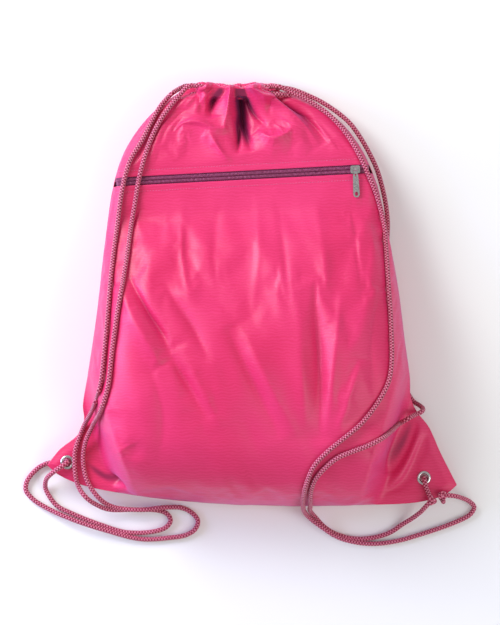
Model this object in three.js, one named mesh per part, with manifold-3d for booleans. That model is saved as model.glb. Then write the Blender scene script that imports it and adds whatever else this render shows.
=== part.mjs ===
// Drawstring backpack (cinch sack) with a zipped front pocket, lying on its back.
// Millimetres. +X to the right seen from the front, +Y towards the neck, +Z out of the front.
// The origin is under the middle of the bag, on the surface that it lies on.
import * as THREE from 'three';
import { mergeVertices } from 'three/addons/utils/BufferGeometryUtils.js';
import Module from 'manifold-3d';

const wasm = await Module();
wasm.setup();

// ---- Driving dimensions ----
const CLOTH = 1.4;
const SEAM_GAP = 0.2;
const PATCH_ROOM = 0.6;
const CREASE_WIDTH = 24;
const EAR_LEVEL = 16;
const PATCH = { low: 15.5, thickness: 1 };

const ZIP_LEVEL = 44;
const ZIP_MIDDLE = [-11.5, 111.7];
const ZIP_TILT = THREE.MathUtils.degToRad(3);
const ZIP_BAND = 4.2;
const SLIDER_AT = 109;
const COIL = { inner: 0.8, outer: 2.7, low: -1.4, high: 0.4, halfLength: 119 };
const TAPE = { inner: 0.8, outer: 5.8, low: -2.6, high: -2.1, halfLength: 106 };
const LINING_DEPTH = 5;

const NECK_Y = 181;
const NECK_LEFT = -53;
const NECK_RIGHT = 22;
const CHANNEL = { low: 182, high: 202, wall: 1.4, thickness: 13.2, front: 28.4, back: 9.4 };

const EYELET_LEFT = [-175.7, -160.1];
const EYELET_RIGHT = [163.6, -175];
const EYELET = { hole: 3.8, barrel: 4.4, flange: 6.7, cut: 4.8 };

const CORD_RADIUS = 2.25;
const CORD_SIDES = 8;
const CORD_LIFT = 2.1;

// ---- Outlines, seen from the front ----
const LEFT_SIDE = [
  [-195.3, -163], [-183, -148], [-166, -134], [-160, -120], [-161, -106], [-156, -76], [-147, -16],
  [-140, 46], [-132, 102], [-122, 134], [-104, 159], [-84, 174.5], [-70, 179], [-56, NECK_Y],
];
const RIGHT_SIDE = [
  [195.3, -182], [180, -152], [168, -126], [157, -112], [151, -98], [150, -80], [145, -44],
  [139, 4], [131, 48], [119.5, 101], [114, 117], [104, 138], [88, 159], [68, 172], [44, 179], [26, NECK_Y],
];
const BOTTOM = [
  [-195.3, -163], [-186, -171], [-165, -181], [-123, -190], [-63, -197.5],
  [27, -201.8], [106, -201], [160, -198], [184, -191], [195.3, -182],
];
const LEFT_CREASE = [[-156, -118], [-132, -192]];
const RIGHT_CREASE = [[124, -196], [150, -108]];

// Heights. The first number of each pair is a place along Y, from the zip for the front.
const SEAM_HEIGHT = [[-205, 16], [-130, 16], [-60, 25], [40, 24], [112, 22], [182, 18.9]];
const FRONT_HEIGHT = [[-320, 78], [-190, 95], [-112, 84], [-66, 62], [-32, 44], [15, 44], [44, 40], [72, 35]];
const FRONT_ROUNDING = [[-320, 60], [-190, 66], [-112, 52], [-66, 32], [-32, 11.5], [14, 11.5], [72, 14]];
const BACK_ROUNDING = 34;

// ---- Small helpers ----
const outlineCurve = (points) => new THREE.CatmullRomCurve3(
  points.map(([x, y]) => new THREE.Vector3(x, y, 0)), false, 'centripetal');

/** A smooth line through [place, value] pairs that never overshoots them. */
function along(stops, place) {
  const last = stops.length - 1;
  if (place <= stops[0][0]) return stops[0][1];
  if (place >= stops[last][0]) return stops[last][1];
  const slope = (i) => (stops[i + 1][1] - stops[i][1]) / (stops[i + 1][0] - stops[i][0]);
  const tangent = (i) => {
    if (i === 0 || i === last || slope(i - 1) * slope(i) <= 0) return 0;
    return 2 * slope(i - 1) * slope(i) / (slope(i - 1) + slope(i));
  };
  const i = stops.findIndex((stop) => stop[0] > place) - 1;
  const span = stops[i + 1][0] - stops[i][0];
  const t = (place - stops[i][0]) / span;
  return (1 + 2 * t) * (1 - t) ** 2 * stops[i][1] + t * (1 - t) ** 2 * span * tangent(i)
    + t * t * (3 - 2 * t) * stops[i + 1][1] + t * t * (t - 1) * span * tangent(i + 1);
}

function distanceToLine(points, x, y) {
  let best = Infinity;
  for (let i = 0; i + 1 < points.length; i += 1) {
    const a = points[i];
    const dx = points[i + 1].x - a.x;
    const dy = points[i + 1].y - a.y;
    const t = Math.min(1, Math.max(0, ((x - a.x) * dx + (y - a.y) * dy) / (dx * dx + dy * dy)));
    best = Math.min(best, Math.hypot(x - a.x - t * dx, y - a.y - t * dy));
  }
  return best;
}

/** How far a point lies on the inner side of a crease, from 0 on the crease to 1 clear of it. */
function clearOf([from, to], x, y) {
  const length = Math.hypot(to[0] - from[0], to[1] - from[1]);
  const side = ((x - from[0]) * (from[1] - to[1]) + (y - from[1]) * (to[0] - from[0])) / length;
  return THREE.MathUtils.smoothstep(side, 0, CREASE_WIDTH);
}

const ALONG_ZIP = new THREE.Vector2(Math.cos(ZIP_TILT), Math.sin(ZIP_TILT));
const acrossZip = (x, y) => (y - ZIP_MIDDLE[1]) * ALONG_ZIP.x - (x - ZIP_MIDDLE[0]) * ALONG_ZIP.y;
const zipLineY = (x, across) => ZIP_MIDDLE[1] + (across + (x - ZIP_MIDDLE[0]) * ALONG_ZIP.y) / ALONG_ZIP.x;

// ---- The bag's two faces as heights over the outline ----
const SEAM_LINE = [LEFT_SIDE.slice().reverse(), BOTTOM, RIGHT_SIDE]
  .flatMap((part) => outlineCurve(part).getPoints(90));
const roundOver = (s) => Math.sqrt(1 - (1 - Math.min(s, 1)) ** 2);
const puff = (x, y) => clearOf(LEFT_CREASE, x, y) * clearOf(RIGHT_CREASE, x, y);
const seamGap = (inner) => SEAM_GAP + PATCH_ROOM * (1 - inner);

function frontHeight(x, y) {
  const inner = puff(x, y);
  const across = acrossZip(x, y);
  const start = along(SEAM_HEIGHT, y) + seamGap(inner) + CLOTH * (1 - inner);
  const edge = distanceToLine(SEAM_LINE, x, y) / along(FRONT_ROUNDING, across);
  return start + (along(FRONT_HEIGHT, across) - start) * roundOver(edge) * inner;
}

function backHeight(x, y) {
  const inner = puff(x, y);
  const start = along(SEAM_HEIGHT, y) - seamGap(inner) - CLOTH * (1 - inner);
  const edge = distanceToLine(SEAM_LINE, x, y) / BACK_ROUNDING;
  return start * (1 - roundOver(edge) * inner);
}

// ---- Patches of cloth ----
function stretchOfSide(points, lowY, highY, count, spacing) {
  const all = outlineCurve(points).getPoints(600);
  const kept = all.filter((p) => p.y >= lowY(p.x) && p.y <= highY(p.x));
  const lengths = [0];
  for (let i = 1; i < kept.length; i += 1) lengths.push(lengths[i - 1] + kept[i].distanceTo(kept[i - 1]));
  return Array.from({ length: count + 1 }, (_, j) => {
    const target = spacing(j / count) * lengths.at(-1);
    const i = Math.max(1, lengths.findIndex((length) => length >= target - 1e-9));
    const t = (target - lengths[i - 1]) / (lengths[i] - lengths[i - 1]);
    return kept[i - 1].clone().lerp(kept[i], t);
  });
}

/** Fills the space between four edges with a grid of points, [column][row]. */
function fillBetween(left, right, bottom, top, acrossSpacing, upSpacing) {
  const columns = bottom.length - 1;
  const rows = left.length - 1;
  return bottom.map((low, i) => left.map((edge, j) => {
    const u = acrossSpacing(i / columns);
    const v = upSpacing(j / rows);
    const blend = (key) => (1 - v) * low[key] + v * top[i][key] + (1 - u) * edge[key] + u * right[j][key]
      - (1 - u) * ((1 - v) * bottom[0][key] + v * top[0][key])
      - u * ((1 - v) * bottom[columns][key] + v * top[columns][key]);
    return new THREE.Vector3(blend('x'), blend('y'), 0);
  }));
}

/** A closed solid between two grids of points of the same size. */
function solidBetween(upper, lower) {
  const columns = upper.length;
  const rows = upper[0].length;
  const positions = [...upper.flat(), ...lower.flat()].flatMap((p) => [p.x, p.y, p.z]);
  const top = (i, j) => i * rows + j;
  const under = (i, j) => columns * rows + i * rows + j;
  const faces = [];
  const quad = (a, b, c, d) => faces.push(a, b, c, a, c, d);
  for (let i = 0; i + 1 < columns; i += 1) {
    for (let j = 0; j + 1 < rows; j += 1) {
      quad(top(i, j), top(i + 1, j), top(i + 1, j + 1), top(i, j + 1));
      quad(under(i, j), under(i, j + 1), under(i + 1, j + 1), under(i + 1, j));
    }
  }
  for (let i = 0; i + 1 < columns; i += 1) {
    quad(under(i, 0), under(i + 1, 0), top(i + 1, 0), top(i, 0));
    quad(top(i, rows - 1), top(i + 1, rows - 1), under(i + 1, rows - 1), under(i, rows - 1));
  }
  for (let j = 0; j + 1 < rows; j += 1) {
    quad(top(0, j), top(0, j + 1), under(0, j + 1), under(0, j));
    quad(under(columns - 1, j), under(columns - 1, j + 1), top(columns - 1, j + 1), top(columns - 1, j));
  }
  const geometry = new THREE.BufferGeometry();
  geometry.setAttribute('position', new THREE.Float32BufferAttribute(positions, 3));
  geometry.setIndex(faces);
  return geometry;
}

function gridNormals(grid) {
  return grid.map((column, i) => column.map((_, j) => {
    const along1 = grid[Math.min(i + 1, grid.length - 1)][j].clone().sub(grid[Math.max(i - 1, 0)][j]);
    const along2 = column[Math.min(j + 1, column.length - 1)].clone().sub(column[Math.max(j - 1, 0)]);
    return along1.cross(along2).normalize();
  }));
}

/** Moves a grid along its own normals, and keeps it on one side of the seam. */
function offset(grid, depth, side) {
  const normals = gridNormals(grid);
  return grid.map((column, i) => column.map((point, j) => {
    const moved = point.clone().addScaledVector(normals[i][j], -depth * side);
    const limit = along(SEAM_HEIGHT, moved.y) + side * seamGap(puff(point.x, point.y));
    moved.z = side > 0 ? Math.max(moved.z, limit) : Math.min(moved.z, limit);
    return moved;
  }));
}

const edgesClose = (t) => 0.5 - 0.5 * Math.cos(Math.PI * t);
const startClose = (t) => 1 - Math.cos(0.5 * Math.PI * t);
const even = (t) => t;

function curveBetween(points, count, spacing) {
  const curve = outlineCurve(points);
  return Array.from({ length: count + 1 }, (_, i) => curve.getPointAt(spacing(i / count)));
}

function lineBetween(a, b, count, spacing) {
  return Array.from({ length: count + 1 }, (_, i) => a.clone().lerp(b, spacing(i / count)));
}

const everywhereBelow = () => -Infinity;
const everywhereAbove = () => Infinity;

function lowerOutlineGrid(columns, rows, top, spacing) {
  const left = stretchOfSide(LEFT_SIDE, everywhereBelow, top, rows, spacing);
  const right = stretchOfSide(RIGHT_SIDE, everywhereBelow, top, rows, spacing);
  const bottom = curveBetween(BOTTOM, columns, edgesClose);
  const upper = lineBetween(left.at(-1), right.at(-1), columns, edgesClose);
  return fillBetween(left, right, bottom, upper, edgesClose, spacing);
}

function raise(grid, height) {
  grid.flat().forEach((point) => { point.z = height(point.x, point.y); });
  return grid;
}

function flipped(geometry) {
  const index = geometry.index.array;
  for (let i = 0; i < index.length; i += 3) [index[i], index[i + 1]] = [index[i + 1], index[i]];
  return geometry;
}

// ---- Joining and cutting ----
function toManifold(geometry) {
  const bare = geometry.clone();
  bare.deleteAttribute('normal');
  bare.deleteAttribute('uv');
  const positions = bare.attributes.position.array;
  for (let i = 0; i < positions.length; i += 1) positions[i] = Math.round(positions[i] * 1000) / 1000;
  const merged = mergeVertices(bare, 1e-5);
  return new wasm.Manifold(new wasm.Mesh({
    numProp: 3,
    vertProperties: new Float32Array(merged.attributes.position.array),
    triVerts: new Uint32Array(merged.index.array),
  }));
}

function fromManifold(solid) {
  const mesh = solid.getMesh();
  const geometry = new THREE.BufferGeometry();
  geometry.setAttribute('position', new THREE.BufferAttribute(new Float32Array(mesh.vertProperties), 3));
  geometry.setIndex(new THREE.BufferAttribute(new Uint32Array(mesh.triVerts), 1));
  return geometry;
}

const joined = (geometries) => fromManifold(
  geometries.map(toManifold).reduce((whole, piece) => whole.add(piece)));

function withEyeletHoles(geometry, centres) {
  const drills = centres.map(([x, y]) => new THREE.CylinderGeometry(EYELET.cut, EYELET.cut, 60, 20)
    .rotateX(Math.PI / 2).translate(x, y, EAR_LEVEL));
  return fromManifold(drills.reduce((whole, drill) => whole.subtract(toManifold(drill)), toManifold(geometry)));
}

// ---- Materials ----
const cloth = (color) => new THREE.MeshStandardMaterial({ color, roughness: 0.55, metalness: 0 });
const POLYESTER = cloth(0xe8447e);
const LINING = cloth(0xc93a6c);
const TAPE_CLOTH = cloth(0x8e2f5c);
const NYLON = new THREE.MeshStandardMaterial({ color: 0x5e1f42, roughness: 0.45, metalness: 0 });
const BRAID = cloth(0xd2557f);
const NICKEL = new THREE.MeshStandardMaterial({ color: 0xc9c4c2, roughness: 0.25, metalness: 1 });

const bag = new THREE.Group();
function add(name, geometry, material, parent = bag) {
  const mesh = new THREE.Mesh(geometry, material);
  mesh.name = name;
  parent.add(mesh);
  return mesh;
}

// ---- Cloth panels ----
function pocketPanel() {
  const grid = raise(lowerOutlineGrid(26, 18, (x) => zipLineY(x, -ZIP_BAND), startClose), frontHeight);
  return withEyeletHoles(solidBetween(grid, offset(grid, CLOTH, 1)), [EYELET_LEFT, EYELET_RIGHT]);
}

function yokePanel() {
  const low = (x) => zipLineY(x, ZIP_BAND);
  const left = stretchOfSide(LEFT_SIDE, low, everywhereAbove, 8, even);
  const right = stretchOfSide(RIGHT_SIDE, low, everywhereAbove, 8, even);
  const bottom = lineBetween(left[0], right[0], 26, edgesClose);
  const top = lineBetween(left.at(-1), right.at(-1), 26, edgesClose);
  const grid = raise(fillBetween(left, right, bottom, top, edgesClose, even), frontHeight);
  return solidBetween(grid, offset(grid, CLOTH, 1));
}

function backPanel() {
  const grid = raise(lowerOutlineGrid(24, 22, everywhereAbove, edgesClose), backHeight);
  return withEyeletHoles(flipped(solidBetween(grid, offset(grid, CLOTH, -1))), [EYELET_LEFT, EYELET_RIGHT]);
}

function pocketLining() {
  const left = curveBetween([[-108, -150], [-126, -100], [-122, -16], [-120, 46], [-117, 104], [-114, 122]], 14, even);
  const right = curveBetween([[98, -158], [118, -100], [119, -30], [112, 48], [103, 104], [97, 131]], 14, even);
  const bottom = curveBetween([[-108, -150], [-60, -164], [27, -170], [98, -158]], 16, even);
  const top = lineBetween(left.at(-1), right.at(-1), 16, even);
  const surface = raise(fillBetween(left, right, bottom, top, even, even), frontHeight);
  return solidBetween(offset(surface, LINING_DEPTH, 1), offset(surface, LINING_DEPTH + 1, 1));
}

/** The hem at the neck, sewn into a sleeve that the cords run through. */
function channel(level) {
  const rounded = (halfWidth, halfHeight, radius, shape) => {
    shape.moveTo(halfWidth, -halfHeight + radius);
    shape.absarc(halfWidth - radius, halfHeight - radius, radius, 0, Math.PI / 2);
    shape.absarc(-halfWidth + radius, halfHeight - radius, radius, Math.PI / 2, Math.PI);
    shape.absarc(-halfWidth + radius, -halfHeight + radius, radius, Math.PI, 1.5 * Math.PI);
    shape.absarc(halfWidth - radius, -halfHeight + radius, radius, 1.5 * Math.PI, 2 * Math.PI);
    return shape;
  };
  const halfTall = (CHANNEL.high - CHANNEL.low) / 2;
  const halfThick = CHANNEL.thickness / 2;
  const section = rounded(halfTall, halfThick, 4.5, new THREE.Shape());
  section.holes.push(rounded(halfTall - CHANNEL.wall, halfThick - CHANNEL.wall, 2, new THREE.Path()));
  return new THREE.ExtrudeGeometry(section, { depth: NECK_RIGHT - NECK_LEFT, bevelEnabled: false, curveSegments: 4 })
    .rotateX(Math.PI / 2).rotateZ(Math.PI / 2)
    .translate(NECK_LEFT, (CHANNEL.low + CHANNEL.high) / 2, level);
}

function cornerPatch(corners) {
  const shape = new THREE.Shape(corners.map(([x, y]) => new THREE.Vector2(x, y)));
  const slab = new THREE.ExtrudeGeometry(shape, { depth: PATCH.thickness, bevelEnabled: false })
    .translate(0, 0, PATCH.low);
  return withEyeletHoles(slab, [EYELET_LEFT, EYELET_RIGHT]);
}

add('back_panel', backPanel(), POLYESTER);
add('pocket_panel', pocketPanel(), POLYESTER);
add('yoke_panel', yokePanel(), POLYESTER);
add('pocket_lining', pocketLining(), LINING);
add('channel_front', channel(CHANNEL.front), POLYESTER);
add('channel_back', channel(CHANNEL.back), POLYESTER);
add('corner_patch_left', cornerPatch([[-188, -162], [-174, -148], [-164, -158], [-168, -174], [-180, -169]]), LINING);
add('corner_patch_right', cornerPatch([[178, -182], [166, -160], [152, -166], [154, -188], [170, -188]]), LINING);

// ---- Eyelets ----
const lathe = (profile) => new THREE.LatheGeometry(profile.map(([r, z]) => new THREE.Vector2(r, z)), 20)
  .rotateX(Math.PI / 2);

function eyelet() {
  const { hole, barrel, flange } = EYELET;
  return lathe([
    [hole, -4.2], [5.7, -4.2], [5.7, -3.6], [barrel, -3.6], [barrel, 2.5], [flange, 2.5],
    [flange, 3], [5.4, 3.7], [hole + 0.5, 3.5], [hole, 2.9], [hole, -4.2],
  ]);
}

const washer = () => lathe([
  [4.7, -3.3], [EYELET.flange, -3.3], [EYELET.flange, -2.8], [6.2, -2.5], [4.7, -2.5], [4.7, -3.3],
]);

for (const [side, [x, y]] of [['left', EYELET_LEFT], ['right', EYELET_RIGHT]]) {
  add(`eyelet_${side}`, eyelet(), NICKEL).position.set(x, y, EAR_LEVEL);
  add(`eyelet_washer_${side}`, washer(), NICKEL).position.set(x, y, EAR_LEVEL);
}

// ---- Zip: two tapes and two halves of the coil, following the cloth down at their ends ----
function zipStrip(side, { inner, outer, low, high, halfLength }) {
  const steps = 30;
  const centre = Array.from({ length: steps + 1 }, (_, i) => {
    const s = (2 * edgesClose(i / steps) - 1) * halfLength;
    const x = ZIP_MIDDLE[0] + s * ALONG_ZIP.x;
    const y = ZIP_MIDDLE[1] + s * ALONG_ZIP.y;
    return { s, z: frontHeight(x, y) - ZIP_LEVEL };
  });
  const edge = (across, depth) => centre.map(({ s, z }, i) => {
    const before = centre[Math.max(i - 1, 0)];
    const after = centre[Math.min(i + 1, steps)];
    const lean = Math.atan2(after.z - before.z, after.s - before.s);
    return new THREE.Vector3(s - depth * Math.sin(lean), side * across, z + depth * Math.cos(lean));
  });
  const near = side > 0 ? inner : outer;
  const far = side > 0 ? outer : inner;
  const columns = (depth) => centre.map((_, i) => [edge(near, depth)[i], edge(far, depth)[i]]);
  return solidBetween(columns(high), columns(low));
}

const zip = new THREE.Group();
zip.position.set(ZIP_MIDDLE[0], ZIP_MIDDLE[1], ZIP_LEVEL);
zip.rotation.z = ZIP_TILT;
bag.add(zip);
for (const [half, side] of [['upper', 1], ['lower', -1]]) {
  add(`zip_tape_${half}`, zipStrip(side, TAPE), TAPE_CLOTH, zip);
  add(`zip_coil_${half}`, zipStrip(side, COIL), NYLON, zip);
}

// ---- Slider and its pull ----
const BAR_HEIGHT = 4.1;
const PULL_DROOP = THREE.MathUtils.degToRad(5);
const box = (x, y, z, cx, cy, cz) => new THREE.BoxGeometry(x, y, z).translate(cx, cy, cz);

function roundedPlate(halfLength, halfWidth, radius, low, high) {
  const shape = new THREE.Shape();
  shape.absarc(halfLength - radius, halfWidth - radius, radius, 0, Math.PI / 2);
  shape.absarc(-halfLength + radius, halfWidth - radius, radius, Math.PI / 2, Math.PI);
  shape.absarc(-halfLength + radius, -halfWidth + radius, radius, Math.PI, 1.5 * Math.PI);
  shape.absarc(halfLength - radius, -halfWidth + radius, radius, 1.5 * Math.PI, 2 * Math.PI);
  return new THREE.ExtrudeGeometry(shape, { depth: high - low, bevelEnabled: false, curveSegments: 5 })
    .translate(0, 0, low);
}

const sliderBody = () => joined([
  roundedPlate(4.5, 3.7, 1.6, 0.8, 1.8),
  roundedPlate(4.5, 3.7, 1.6, -3.9, -3.1),
  box(2.2, 0.9, 4.4, 2.6, 0, -1.1),
  box(6.4, 0.6, 2.3, 0, 3.35, -0.15),
  box(6.4, 0.6, 2.3, 0, -3.35, -0.15),
  box(0.9, 1.2, 2.95, -3.3, 0, 3.1),
  box(0.9, 1.2, 2.95, 3.3, 0, 3.1),
  box(7.5, 1.1, 1.1, 0, 0, BAR_HEIGHT),
]);

function pullTab() {
  const eye = new THREE.Shape();
  eye.absarc(0, 0, 1.75, 0, 2 * Math.PI);
  eye.holes.push(new THREE.Path().absarc(0, 0, 1, 0, 2 * Math.PI, false));
  const knuckle = new THREE.ExtrudeGeometry(eye, { depth: 3.4, bevelEnabled: false, curveSegments: 8 })
    .rotateY(Math.PI / 2).translate(-1.7, 0, 0);
  const outline = new THREE.Shape();
  outline.moveTo(1.7, -1.3);
  outline.lineTo(1.7, -3.4);
  outline.bezierCurveTo(1.7, -5, 2.6, -5, 2.6, -7);
  outline.lineTo(3.1, -23.4);
  outline.absarc(0, -23.4, 3.1, 0, -Math.PI, true);
  outline.lineTo(-2.6, -7);
  outline.bezierCurveTo(-2.6, -5, -1.7, -5, -1.7, -3.4);
  outline.lineTo(-1.7, -1.3);
  const slot = new THREE.Path();
  slot.absarc(0, -22.6, 1.4, 0, Math.PI, false);
  slot.absarc(0, -23.6, 1.4, Math.PI, 2 * Math.PI, false);
  outline.holes.push(slot, new THREE.Path().absarc(0, -5.2, 0.8, 0, 2 * Math.PI, false));
  const plate = new THREE.ExtrudeGeometry(outline, { depth: 0.9, bevelEnabled: false, curveSegments: 6 })
    .translate(0, 0, -0.45);
  return joined([knuckle, plate]);
}

add('zip_slider', sliderBody(), NICKEL, zip).position.set(SLIDER_AT, 0, 0);
const pull = add('zip_pull', pullTab(), NICKEL, zip);
pull.position.set(SLIDER_AT, 0, BAR_HEIGHT);
pull.rotation.x = PULL_DROOP;

// ---- Cords ----
// A route point [x, y] lies on the bag's front; [x, y, z] is free or on the surface under the bag.
const CORD_LEFT = [
  [-175.7, -160.1, 10.6], [-175.7, -160.1, 15], [-176, -160.3, 20], [-179.6, -163, 23.6],
  [-186, -167.2, 23], [-191.6, -171.6, 19], [-196.4, -177, 9.5], [-197.6, -185.5, 3.4], [-193, -195, 2.6],
  [-186, -203, 2.6], [-173, -209.7, 2.6], [-146, -220.4, 2.6], [-120, -228, 2.6], [-94, -227.2, 2.6],
  [-82, -223, 2.6], [-78, -217, 2.6], [-81, -210.5, 2.6], [-90, -207, 2.6], [-113, -206.2, 5],
  [-137, -205.6, 8.5], [-149, -200.5, 14], [-158.5, -193, 20], [-165.5, -183], [-168.2, -170, 22.6],
  [-168.8, -160, 22.8], [-168, -148], [-160.5, -127], [-149.5, -107], [-141.6, -84], [-138, -54], [-135, -20],
  [-132.6, 13], [-130, 41], [-127, 65], [-124, 89], [-120, 110], [-114.5, 127], [-104.5, 144], [-96, 161, 40],
  [-87, 177.6, 34], [-74.4, 191.6, 24], [-62, 198.6, 13.6], [-53, 197, 12.1], [-44, 196, 12.2], [13, 190, 12.1],
  [21, 189.5, 12], [28, 189.3, 12.4], [33.4, 189.2, 16.6], [35.4, 189.2, 21.6], [33.4, 189.2, 26.6],
  [28, 189.3, 30.8],
  [13, 190, 31], [-44, 196, 31], [-53, 197.4, 31.2], [-60, 197, 32.5], [-68, 189, 36], [-79, 175.4, 39.5],
  [-88.5, 161], [-96.3, 144], [-102.5, 125], [-107, 107], [-110, 88], [-114, 64], [-116.5, 42], [-120.5, 13],
  [-126, -21], [-130.5, -54], [-134.4, -87], [-141, -108], [-151, -125, 38], [-158.5, -142, 24.5], [-160.6, -159],
  [-157, -177], [-147, -193, 18], [-133.5, -203, 9], [-107, -206, 9.6], [-85, -204, 7.2], [-67, -204.6, 3.2],
  [-57, -209.7, 2.6], [-51.8, -217, 2.6], [-54.5, -225, 2.6], [-63, -230.5, 2.6], [-77, -233, 2.6],
  [-106, -234.4, 2.6], [-138, -226.4, 5.4], [-170, -216, 7.2], [-198, -203.8, 3], [-211, -195, 2.6],
  [-216.4, -187.4, 2.6], [-214.8, -178, 2.6], [-204, -166, 2.6], [-194, -161.5, 3], [-182, -160.2, 4],
];
const CORD_RIGHT = [
  [165.9, -201.5, 21], [160.5, -208, 14.5], [152, -215, 7.6], [143, -220.8, 3.6], [133, -227.8, 2.6],
  [119.5, -232.4, 2.6], [106, -234.2, 2.6], [93, -233.4, 2.6], [80, -229.4, 2.6], [69.5, -222.8, 5.4],
  [60, -212.6, 8.6], [55.6, -207, 16], [55.2, -200.6, 39], [55, -193, 58], [55.4, -184], [59, -173.6],
  [69, -161.6], [80, -152.6], [93, -147], [106.4, -142], [120, -135.6], [132, -128], [140, -123],
  [147, -118.6, 36], [155, -114.6, 26], [160.5, -112.4, 23], [163, -109.4, 15], [159.6, -106, 7],
  [154.4, -102.6, 3.4], [149, -94, 2.6], [144, -76, 2.6], [139, -46, 2.6], [133, -10, 2.6], [129.4, 28, 3],
  [129.2, 50, 5.8], [129.4, 68, 13], [127.6, 84, 18.4], [124, 101, 21], [118.6, 119, 21.6], [111.6, 134, 21],
  [103, 149, 20.4], [93.6, 162, 19.4], [82.5, 172, 18], [67, 182.6, 15.4], [52.5, 190, 11.4], [38, 195.6, 8.6],
  [26, 197.4, 7.4], [18, 197, 7.4], [-44, 190, 7.4], [-56, 189.4, 7.6], [-62.2, 189.2, 11.8],
  [-64.2, 189.2, 16.6], [-62.2, 189.2, 21.4], [-56, 189.4, 25.6], [-44, 190, 25.8], [18, 197, 25.8],
  [26, 196.6, 26.4], [37, 191.5, 28], [50, 185.4, 31], [63.5, 177, 35], [77, 166, 40], [89, 152], [97.6, 138],
  [104.4, 125], [110, 112], [116.6, 96.5], [121.6, 80], [125, 64], [126.2, 46], [128, 10], [130, -26],
  [130.4, -64], [127, -83], [116.4, -102.6], [101.5, -121], [86.6, -133.6], [71, -146.4, 90],
  [57.6, -161, 83], [51, -177.4], [48.4, -190], [48.2, -200.2, 41], [50.4, -208, 19], [55, -213.6, 12],
  [66, -222, 10.2], [82.6, -232.6, 5], [101.4, -237.8, 3], [120, -238.8, 2.6], [140, -236, 2.6],
  [160, -230.4, 2.6], [193, -219, 2.6], [208.6, -211, 2.6], [212.6, -204, 3.4], [208, -198.4, 8],
  [200, -194.4, 14.6], [193, -192.2, 20.6], [187.2, -191.5, 22.8],
];
const EYELET_LOOP = [
  [182.2, -197.8, 18], [182, -197, 13.4], [179, -192.6, 9], [174, -186.4, 7], [168.6, -179.4, 6.6],
  [164.8, -175.8, 9], [163.6, -175, 13], [163.6, -175, 17], [163.8, -175.8, 21], [164.6, -179.6, 23.6],
  [166, -185, 23.4], [168.4, -190.2, 23],
];

function overFront(x, y) {
  const slopeX = frontHeight(x + 1, y) - frontHeight(x - 1, y);
  const slopeY = frontHeight(x, y + 1) - frontHeight(x, y - 1);
  return frontHeight(x, y) + (CORD_RADIUS + CORD_LIFT) * Math.hypot(1, slopeX / 2, slopeY / 2);
}

const lay = (route) => route.map(([x, y, z]) => new THREE.Vector3(x, y, z ?? overFront(x, y)));

function cord(route, steps) {
  const section = new THREE.Shape();
  for (let k = 0; k < CORD_SIDES; k += 1) {
    const angle = (2 * Math.PI * k) / CORD_SIDES;
    const corner = [CORD_RADIUS * Math.cos(angle), CORD_RADIUS * Math.sin(angle)];
    if (k === 0) section.moveTo(...corner);
    else section.lineTo(...corner);
  }
  const path = new THREE.CatmullRomCurve3(lay(route), false, 'centripetal');
  path.arcLengthDivisions = 2000;
  return new THREE.ExtrudeGeometry(section, { steps, bevelEnabled: false, extrudePath: path });
}

function knot(x, y, z, size) {
  return new THREE.SphereGeometry(size, 12, 8).scale(1.08, 1, 0.82).translate(x, y, z);
}

add('cord_left', cord(CORD_LEFT, 150), BRAID);
add('cord_right', cord(CORD_RIGHT, 150), BRAID);
add('eyelet_loop_right', cord(EYELET_LOOP, 14), BRAID);
add('knot_left', knot(-175.7, -160.1, 5.4, 5.4), BRAID);
add('knot_right_inner', knot(171, -196.6, 23.2, 5.2), BRAID);
add('knot_right_outer', knot(181, -191.4, 23.4, 5), BRAID);

export default bag;
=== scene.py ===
# Looks for the drawstring backpack: cloth panels, gathered neck, zip, eyelets, braided cords and knots.
import math

import bpy
import numpy as np
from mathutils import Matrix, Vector
from mathutils.bvhtree import BVHTree


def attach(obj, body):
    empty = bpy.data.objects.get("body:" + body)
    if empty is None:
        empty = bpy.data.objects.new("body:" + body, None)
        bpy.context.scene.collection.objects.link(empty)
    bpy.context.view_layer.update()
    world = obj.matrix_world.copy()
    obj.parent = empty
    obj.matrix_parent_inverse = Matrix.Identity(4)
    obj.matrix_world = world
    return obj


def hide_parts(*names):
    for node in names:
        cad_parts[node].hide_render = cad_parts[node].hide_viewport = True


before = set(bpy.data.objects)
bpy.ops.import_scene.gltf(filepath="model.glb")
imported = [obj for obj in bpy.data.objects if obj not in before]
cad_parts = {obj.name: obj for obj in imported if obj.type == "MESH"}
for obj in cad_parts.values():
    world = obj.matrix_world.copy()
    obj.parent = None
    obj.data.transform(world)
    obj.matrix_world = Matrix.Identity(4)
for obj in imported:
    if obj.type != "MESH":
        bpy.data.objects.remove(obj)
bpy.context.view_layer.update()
MM = 0.001

# ---- sizes, in millimetres
CLOTH = 0.5
CORD = 4.5

ZIP_MIDDLE = (-11.5, 111.7)
ZIP_TILT = math.radians(3)
ALONG_ZIP = (math.cos(ZIP_TILT), math.sin(ZIP_TILT))
ZIP_BAND = 3.9          # from the zip's middle line to the cloth's edge
HEM_SEAM = 6.0          # from that edge to the row of stitches
COIL_HALF_LENGTH = 118.0
TAPE = {"inner": 0.1, "outer": 5.8, "depth": 2.2, "thickness": 0.5}

NECK_Y = 192.0
NECK_ENDS = (-53.0, 22.0)
SLEEVE_LEFT = (-53.0, -44.0)   # the sleeve rises over these stretches of X
SLEEVE_RIGHT = (12.0, 21.0)
SLEEVE_TOP = 38.5
SLEEVE_ROOM = 34.4      # the lowest the front of the sleeve can lie over the cords
BACK_SLEEVE_LEVEL = 9.4

EYELETS = {"left": (-175.7, -160.1), "right": (163.6, -175.0)}
EYELET_LEVEL = 16.0
EYELET_CUT = 5.0        # radius of the hole in the cloth

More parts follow.
